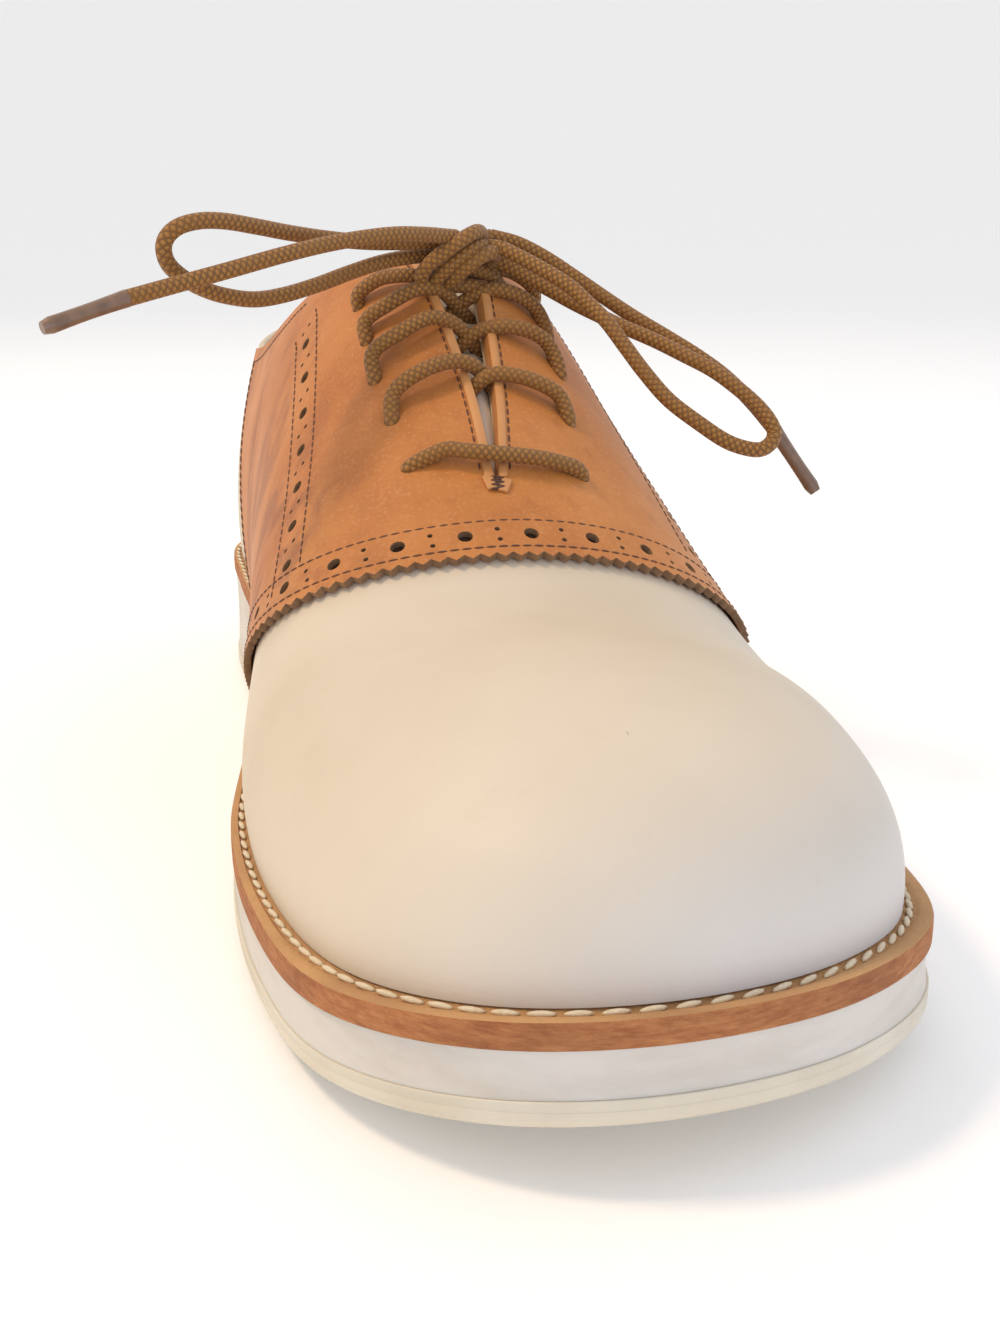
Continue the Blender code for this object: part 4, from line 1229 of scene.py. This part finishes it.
# %% Lines of the side bands
# t and v of the side band's inner seam, beside the facing
SIDE_BAND = np.array([(0.4423, 0.5397), (0.4779, 0.5573), (0.5093, 0.5788),
                      (0.5409, 0.5993), (0.5767, 0.6235)])
SIDE_SEAMS = (0.0, 8.0 * MM)


def side_row(side, distance, lift):
    """A line down the wall from the side band's inner seam."""
    t = np.linspace(0.4423, 0.583, 60)
    w, v = side * t, spline(SIDE_BAND[:, 0], SIDE_BAND[:, 1], t)
    return on_leather(*creep(w, v, -tangents(w, v)[1], distance), lift)


# %% Punch the holes
FRONT_PITCH = 11.3 * MM      # from one big hole to the next
SIDE_PITCH = 10.8 * MM
END_GAP = 3 * MM             # no hole is closer to the end of a band
BIG, SMALL = 1.35 * MM, 0.5 * MM
holes = {BIG: [], SMALL: []}
crest = int(np.argmin(np.abs(front_v - 1.0)))
for radius, distance, offset in ((BIG, 5.3 * MM, FRONT_PITCH / 2), (SMALL, 4.0 * MM, 0.0),
                                 (SMALL, 6.6 * MM, 0.0)):
    line, out = front_row(distance, 0.0)
    run = lengths(line)
    start = (run[crest] + offset) % FRONT_PITCH
    for k, spot in enumerate(zip(*evenly(line, out, FRONT_PITCH, start))):
        if END_GAP < start + k * FRONT_PITCH < run[-1] - END_GAP:
            holes[radius].append(spot)
for side in (-1, 1):
    for radius, distance, start in ((BIG, 4.0 * MM, 4 * MM), (SMALL, 2.8 * MM, 9.4 * MM),
                                    (SMALL, 5.2 * MM, 9.4 * MM)):
        holes[radius].extend(zip(*evenly(*side_row(side, distance, 0.0), SIDE_PITCH, start)))
punch_out(saddle, holes[BIG], BIG, 0.1 * MM, 3.2 * MM, 12, burnt)
punch_out(saddle, holes[SMALL], SMALL, 0.1 * MM, 3.2 * MM, 8, burnt)
punch_out(saddle, eyelets, EYELET_RADIUS, -0.5 * MM, 4 * MM, 16, burnt)
smooth(saddle, 40)
print("punched", len(holes[BIG]), "big and", len(holes[SMALL]), "small holes; saddle has",
      len(saddle.data.polygons), "faces")

# %% [markdown]
# ### Dark backing: painted shade for the holes
# A thin dark sheet lies under the bands, painted shade that makes the holes read dark. It
# starts well behind the pinked edge and is hidden but for the holes.

# %% Backing: painted shade under the holes
# painted shade: a dark sheet under the bands, seen only through the holes
backing = saddle_piece("shade_backing_sheet", 1.6 * MM, 0.42 * MM, False)
modify(backing, "SOLIDIFY", thickness=0.2 * MM, offset=-1)
dress(backing, shade, "tan_leather")
punch_out(backing, eyelets, EYELET_RADIUS + 0.15 * MM, -0.5 * MM, 4 * MM, 16, shade)
smooth(backing, 40)
print("backing:", len(backing.data.polygons), "faces")

# %% [markdown]
# ### Seams of the saddle
# Fine brown thread, about 11 stitches to 25 mm. Each stitch is a small grain that sinks
# into the leather between its needle holes. The same line function that placed the holes
# gives the seams, so band and holes stay parallel.

# %% Saddle seams
# Spun thread: dark, matt, lighter on the crowns of its twist.
brown = speckled("dark_brown_thread", 1500.0, 2.0, "43291A", "6B442B", Roughness=0.65)


def seam(name, rows, pitch, material, slot, width=0.48 * MM):
    """Stitches along some lines, each a pair of points and normals."""
    places = []
    for line, out in rows:
        places.extend(seat(*spot) for spot in zip(*evenly(line, out, pitch)))
    piece = copies(name, grain_of_rice(name, pitch * 0.88, width, width * 0.8), places)
    dress(piece, material, slot)
    print(name.replace("_", " ") + ":", len(places), "stitches")


side_seams = [side_row(side, distance, SADDLE_TOP) for side in (-1, 1) for distance in SIDE_SEAMS]
seam("saddle_seams", front_seams + side_seams, 2.1 * MM, brown, "tan_leather")

# %% [markdown]
# ### Facing edges
# The two edges of the slot are bound with a narrow strip of lighter tan leather, about
# 2.4 mm wide, folded over saddle and upper together, with a seam along its outer side. It
# is a grid again: its columns go over the fold, its rows follow the slot.

# %% Bound edges of the slot
# Lighter calf, skived thin: even colour, soft folds.
pale_tan = finish("pale_tan_binding", Roughness=0.5)
where, fold = pores_and_folds(pale_tan, 0.7, 0.3, 0.1)
wire(pale_tan, Base_Color=coats(pale_tan, "BC7E46", (fold, 0.0, 1.0, 1.0, "D0965C")))


def slot_edge(side, first, final, count):
    """w and v of the slot's edge, and the direction away from the slot."""
    w = side * np.linspace(first, final, count)
    return w, trim(w), -tangents(w, trim(w))[1]


T_STRIP = 0.5915             # where the strip ends, at the top of the facing
STRIP_ROWS = 70
# the fold's outline: how far over the leather from the edge, and its lift, in millimetres
FOLD = [(1.8, 1.8), (1.8, 2.2), (1.5, 2.45), (1.0, 2.55), (0.5, 2.48), (0.12, 2.3), (0.0, 1.8),
        (-0.05, 0.6), (-0.05, -0.8), (0.1, -1.9), (0.6, -2.1), (1.6, -2.05), (1.6, -1.5),
        (0.8, 0.2), (0.8, 1.8), (1.8, 1.8)]
bindings, rows = [], []
for side in (-1, 1):
    w, v, away = slot_edge(side, T_FOOT + 0.0008, T_STRIP, STRIP_ROWS + 1)
    grid = []
    for over, lift in FOLD:
        shifted = creep(w, v, away, over * MM, steps=4) if over > 0 else (w, v)
        point = last(*shifted, lift * MM)
        if over < 0:
            point = point + away / np.linalg.norm(away, axis=1, keepdims=True) * over * MM
        grid.append(point)
    grid = np.array(grid)
    strip = sheet(f"binding_{side}", len(FOLD) - 1, STRIP_ROWS, lambda i, j: grid[i, j], (9, 62))
    edit(strip, merge, fill_ends, turn_out)
    bindings.append(strip)
    w, v, away = slot_edge(side, T_FOOT + 0.004, T_STRIP - 0.004, 60)
    rows.append(on_leather(*creep(w, v, away, 2.3 * MM, steps=4), SADDLE_TOP))
binding = joined("slot_binding", bindings)
smooth(binding, 50)
dress(binding, pale_tan, "tan_leather")
seam("binding_seams", rows, 2.4 * MM, brown, "tan_leather", 0.42 * MM)

# %% [markdown]
# ### Collar
# The collar ends in a thin rolled edge of ivory leather, thinner inside the saddle. A tube
# follows the edge of the wall right round the heel, from one facing to the other. Brown
# seams run below it on the saddle and beside the saddle's rear edge, cream ones on the
# quarter and up the heel.

# %% Rolled collar edge


def round_heel(t, count):
    """w from one side round the heel to the same place on the other."""
    half = np.linspace(t, 1, count)
    return np.concatenate([-half, half[-2::-1]])


w = round_heel(T_STRIP - 0.003, 150)
rim = last(w, trim(w), -0.85 * MM)
run = lengths(rim)
rim = pick(run, rim, np.linspace(0, run[-1], 300))
on_quarter = np.clip((back_of(rim) / MM - 215) / 15, 0, 1)
roll = tube("collar_roll", rim, (0.62 + 0.4 * on_quarter) * MM, sides=12)
dress(roll, ivory, "ivory_leather")
print("collar edge:", round(run[-1] * 1000), "mm")

# %% Seams of the collar, the saddle's rear edge and the heel
w = round_heel(0.60, 120)
w, v = creep(w, trim(w), -tangents(w, trim(w))[1], 3.4 * MM)
behind = back_of(skin(w, v)) - rear_line(skin(w, v)[:, 2], 1)
rows = [on_leather(w[chosen], v[chosen], SADDLE_TOP)
        for chosen in ((w < 0) & (behind < -1 * MM), (w > 0) & (behind < -1 * MM))]
chosen = behind > 0.5 * MM
quarter_row = on_leather(w[chosen], v[chosen], 0.05 * MM)
for side in (-1, 1):
    share = np.linspace(0.03, 0.94, 90)
    t = edge_t(side, share, rear_line)
    for distance in (1.6 * MM, 3.9 * MM):
        w, v = creep(side * t, share * trim(side * t), np.array((0.0, -1.0, 0.0)), distance)
        rows.append(on_leather(w, v, SADDLE_TOP))
seam("topline_seams", rows, 2.2 * MM, brown, "tan_leather")
seam("collar_seam", [quarter_row], 2.5 * MM, thread, "ivory_leather", 0.5 * MM)
heel_v = np.linspace(0.04, float(trim(np.array(1.0))) - 0.02, 60)
rows = [on_leather(np.full(60, 1.0 + offset), heel_v, 0.05 * MM) for offset in (-0.0085, 0.0085)]
seam("heel_seams", rows, 2.5 * MM, thread, "ivory_leather", 0.5 * MM)

# %% [markdown]
# ### Bar tack at the foot of the slot
# The slot's foot takes all the pull, so it is closed by a few dark threads across two tiny
# leather tabs. The tabs are bevelled cubes; the threads are stitches laid side by side.

# %% Tabs and tack
tabs = []
for side, back, angle in ((-1, 115.3, 14), (1, 114.7, -20)):
    bpy.ops.object.select_all(action="DESELECT")
    bpy.ops.mesh.primitive_cube_add(size=1)
    tab = bpy.context.object
    edit(tab, lambda: bpy.ops.transform.resize(value=(3.4 * MM, 1.9 * MM, 0.7 * MM)),
         lambda: bpy.ops.mesh.subdivide(number_cuts=2))
    modify(tab, "BEVEL", width=0.25 * MM, segments=3)
    t = t_at(back * MM)
    w, v = np.array(side * t), np.array(v_at_reach(side * t, 1.3 * MM))
    point, out = on_leather(w, v, SADDLE_TOP + 0.35 * MM)
    turned = Matrix.Rotation(math.radians(angle), 4, "Z")
    tab.data.transform(seat(point, ridge(t + 0.01) - ridge(t), out) @ turned)
    tabs.append(tab)
tab = joined("slot_tabs", tabs)
smooth(tab, 40)
dress(tab, pale_tan, "tan_leather")
places = []
for k in range(6):
    t = np.array(t_at((114.2 + 0.45 * k) * MM))
    point, out = on_leather(t, np.array(1.0), SADDLE_TOP + 0.55 * MM)
    places.append(seat(point, (1, 0.18 * (-1) ** k, 0), out))
tack = copies("slot_tack", grain_of_rice("tack_stitch", 3.0 * MM, 0.5 * MM, 0.6 * MM), places)
dress(tack, brown, "tan_leather")
print("tack threads:", len(places))

# %% [markdown]
# ## The lace through its eyelets
# Each strand comes up through its eyelet, arches back over the facing and dips into the
# slot under the other facing, where it crosses to the next eyelet. The lowest row is one
# straight bar. The eyelets give the first points of each strand, and the chosen points
# below, in millimetres, give the rest; a formula would look too even for a real lace.

# %% Strands of the lacing
STRANDS = {
    1: [[(-11.4, 120.0, 74.4), (-8.0, 118.4, 74.4), (-3.3, 117.4, 74.0), (4.9, 117.4, 72.9),
         (10.0, 118.2, 71.6), (13.0, 119.0, 70.4)]],
    2: [[(-17.0, 136.2, 83.0), (-11.8, 136.2, 86.8), (-5.3, 137.6, 88.4), (-0.6, 139.0, 86.8),
         (2.4, 140.6, 83.0), (4.6, 142.6, 80.0), (8.4, 145.4, 78.8)],
        [(14.4, 134.2, 81.4), (11.6, 134.4, 83.6), (6.9, 135.2, 85.4), (1.8, 136.6, 85.8),
         (-1.4, 138.0, 83.4), (-3.0, 140.4, 80.2), (-6.6, 144.0, 78.4)]],
    3: [[(-18.7, 148.2, 89.2), (-13.8, 147.8, 92.8), (-7.4, 149.0, 95.6), (-2.2, 150.2, 94.2),
         (1.6, 151.8, 90.4), (4.6, 154.0, 87.4), (8.4, 157.0, 86.2)],
        [(16.6, 149.2, 89.6), (12.8, 148.8, 92.6), (7.4, 148.6, 93.7), (2.8, 149.6, 93.0),
         (-0.8, 151.0, 90.2), (-3.6, 153.6, 87.0), (-7.4, 156.6, 85.8)]],
    4: [[(-18.3, 157.8, 94.6), (-13.6, 156.8, 98.0), (-8.1, 157.0, 100.6), (-3.2, 158.4, 100.2),
         (0.8, 160.6, 96.8), (4.2, 162.8, 93.6), (8.0, 165.4, 92.4)],
        [(17.3, 160.4, 95.6), (13.2, 159.8, 98.9), (7.6, 159.2, 100.2), (3.0, 160.0, 98.6),
         (-0.4, 161.6, 95.8), (-3.4, 164.0, 93.0), (-7.0, 166.4, 91.8)]],
    5: [[(-18.0, 166.4, 99.4), (-14.4, 164.6, 102.2), (-10.0, 162.2, 103.0),
         (-5.6, 160.8, 102.8), (-1.8, 162.8, 102.4)],
        [(18.0, 167.6, 100.2), (13.8, 165.6, 103.0), (9.6, 163.6, 104.0), (5.2, 163.4, 103.4),
         (1.6, 164.4, 102.4)]],
}


def out_of(row, side):
    """Points of the lace in its eyelet, from inside the shoe to just above the saddle."""
    k = 2 * (row - 1) + (side > 0)
    return [tuple((eye_points[k] + eye_out[k] * lift * MM) / MM) for lift in (-5.0, -1.6, 1.6)]


for row, strands in STRANDS.items():
    made = []
    for side, strand in zip((-1, 1), strands):
        route = out_of(row, side) + [(x, back - 150, z) for x, back, z in strand]
        if row == 1:
            route += out_of(1, 1)[::-1]
        made.append(tube(f"strand_{row}_{side}", smooth_path(route), LACE / 2))
    lacing = joined(f"lacing_row_{row}", made)
    dress(lacing, waxed, "waxed_lace", f"lace_bar_{row}")
print("lacing:", sum(len(s) for s in STRANDS.values()), "strands in", len(STRANDS), "rows")

# %% [markdown]
# ## Tongue and insole
# The tongue is a soft strip of ivory leather under the facings; only a sliver shows in the
# slot, where it bulges a little between the laces, and its rounded top behind the knot.
# The insole is a plain leather sock inside the shoe. Both are pulled grids.

# %% Tongue
LONG, WIDE = 60, 24          # rows and columns of the grid
ROUNDED = 6                  # rows that narrow at the top
tongue_t = np.linspace(t_at(98 * MM), t_at(186 * MM), LONG + 1)
tongue_v = np.zeros((LONG + 1, 2))
for k, t in enumerate(tongue_t):
    half = (17 + 5 * k / LONG) * MM
    if k > LONG - ROUNDED:
        half *= math.sqrt(1 - ((k - LONG + ROUNDED) / 7) ** 2) * 0.35 + 0.65
    for s, side in enumerate((-1, 1)):
        v = np.linspace(0.2, 1, 200)
        off = np.abs(skin(np.full(200, side * t), v)[:, 0] - ridge(t)[0])
        tongue_v[k, s] = np.interp(-half, -off, v)


def tongue_shape(i, j):
    across = (i - WIDE / 2) / (WIDE / 2)
    across = np.sign(across) * np.abs(across) ** 1.5
    side = np.where(across < 0, -1, 1)
    share = j / LONG
    v = 1 - (1 - tongue_v[j, (side + 1) // 2]) * np.abs(across)
    top = -WALL - 1.3 * MM - 2.2 * MM * share ** 2 - 0.9 * MM * (1 - np.abs(across)) ** 2
    in_slot = np.clip(np.minimum(share - 0.2, 0.62 - share) / 0.06, 0, 1)
    top = top + 3.4 * MM * in_slot * np.exp(-(across * 19 / 2.4) ** 2)
    t = tongue_t[j] - share ** 10 * (0.03 * np.abs(across) + 0.012 * across ** 2)
    # near the ridge the normals of the two sides are blended, so that they never cross
    on_side = np.minimum(2.5 * np.abs(across), 1)[:, None]
    straight = tangents(t, np.ones(len(t)))[2] + tangents(-t, np.ones(len(t)))[2]
    out = tangents(side * t, v)[2] * on_side + straight * (1 - on_side) / 2
    return skin(side * t, v) + out / np.linalg.norm(out, axis=1, keepdims=True) * top[:, None]


tongue = sheet("tongue_leather", WIDE, LONG, tongue_shape, (44, 96))
outward(tongue, (0, 0.02, 0.02))
modify(tongue, "SOLIDIFY", thickness=2.0 * MM, offset=-1)
modify(tongue, "BEVEL", width=0.5 * MM, segments=2, limit_method="ANGLE")
smooth(tongue, 40)
dress(tongue, ivory, "ivory_leather", "tongue")
print("tongue:", len(tongue.data.polygons), "faces")

# %% Insole
# Vegetable-tanned sock: undyed, dry, a little darker in its folds.
sock = finish("vegetable_tanned_sock", Roughness=0.7)
where, fold = pores_and_folds(sock, 1.0, 0.25, 0.1)
wire(sock, Base_Color=coats(sock, "B98F62", (fold, 0.0, 1.0, 1.0, "D3AE82")))
EDGE_IN = WELT_REACH + WALL + 1.2 * MM
insole = layer("insole_sock", seat_line, [
    (EDGE_IN + inset * MM, height * MM, inwards) for inset, height, inwards in (
        (0, 0.3, 1), (0, 0.3, 0), (0, 2.9, 0), (0.4, 3.3, 0), (6, 3.3, 0), (6, 3.0, 0.5),
        (6, 2.9, 1))])
dress(insole, sock, "insole_leather", "insole")
print("insole:", len(insole.data.polygons), "faces")

# %% [markdown]
# ## Floor and light
# The shoe stands on a plain pale floor that curves up behind it. A small warm lamp from
# the upper left gives the leather its form, a broader, cooler one fills the low front of
# the toe, two weak ones lift the right side and the back, and the pale world keeps the
# shadows open.

# %% Studio
# Matt backdrop paper, a little luminous, so that it stays pale far from the lamps.
paper = speckled("pale_paper", 300.0, 2.0, "F5F5F4", "FAFAF9", Roughness=0.9,
                 Emission_Color=linear("FFFFFF"), Emission_Strength=0.1)
bpy.ops.object.select_all(action="DESELECT")
bpy.ops.mesh.primitive_plane_add(size=18, location=(0, -2.0, 0))
backdrop = bpy.context.object
backdrop.name = backdrop.data.name = "studio_floor"
bpy.ops.object.transform_apply(location=True)
edit(backdrop, lambda: bpy.ops.mesh.select_all(action="DESELECT"))
for edge in backdrop.data.edges:
    edge.select = all(backdrop.data.vertices[k].co.y > 1 for k in edge.vertices)
bpy.ops.object.mode_set(mode="EDIT")
bpy.ops.mesh.select_mode(type="EDGE")
bpy.ops.mesh.extrude_region_move(TRANSFORM_OT_translate={"value": (0, 0, 6)})
bpy.ops.object.mode_set(mode="OBJECT")
modify(backdrop, "BEVEL", width=3.5, segments=24, limit_method="ANGLE")
smooth(backdrop)
backdrop.data.materials.append(paper)


def lamp(name, spot, size, power, colour):
    """A round soft lamp that looks at the middle of the shoe."""
    data = bpy.data.lights.new(name, "AREA")
    data.shape = "DISK"
    data.size = size
    data.energy = power
    data.color = linear(colour)[:3]
    light = bpy.data.objects.new(name, data)
    bpy.context.collection.objects.link(light)
    light.location = spot
    to_shoe = Vector((0, -0.04, 0.04)) - Vector(spot)
    light.rotation_euler = to_shoe.to_track_quat("-Z", "Y").to_euler()


lamp("warm_key", (-0.55, 0.02, 0.92), 0.22, 4.5, "FFE0BA")
lamp("cool_front", (0.25, -1.2, 0.22), 0.7, 2.7, "B4CBFF")
lamp("right_fill", (0.9, 0.1, 0.6), 0.7, 0.9, "C8D8FF")
lamp("back_rim", (0.1, 0.9, 0.9), 0.6, 1.0, "FFF6EC")
world = bpy.data.worlds.new("pale_room")
bpy.context.scene.world = world
world.use_nodes = True
world.node_tree.nodes["Background"].inputs[0].default_value = linear("F6F6F8")
world.node_tree.nodes["Background"].inputs[1].default_value = 0.84
bpy.context.scene.view_settings.view_transform = "Standard"
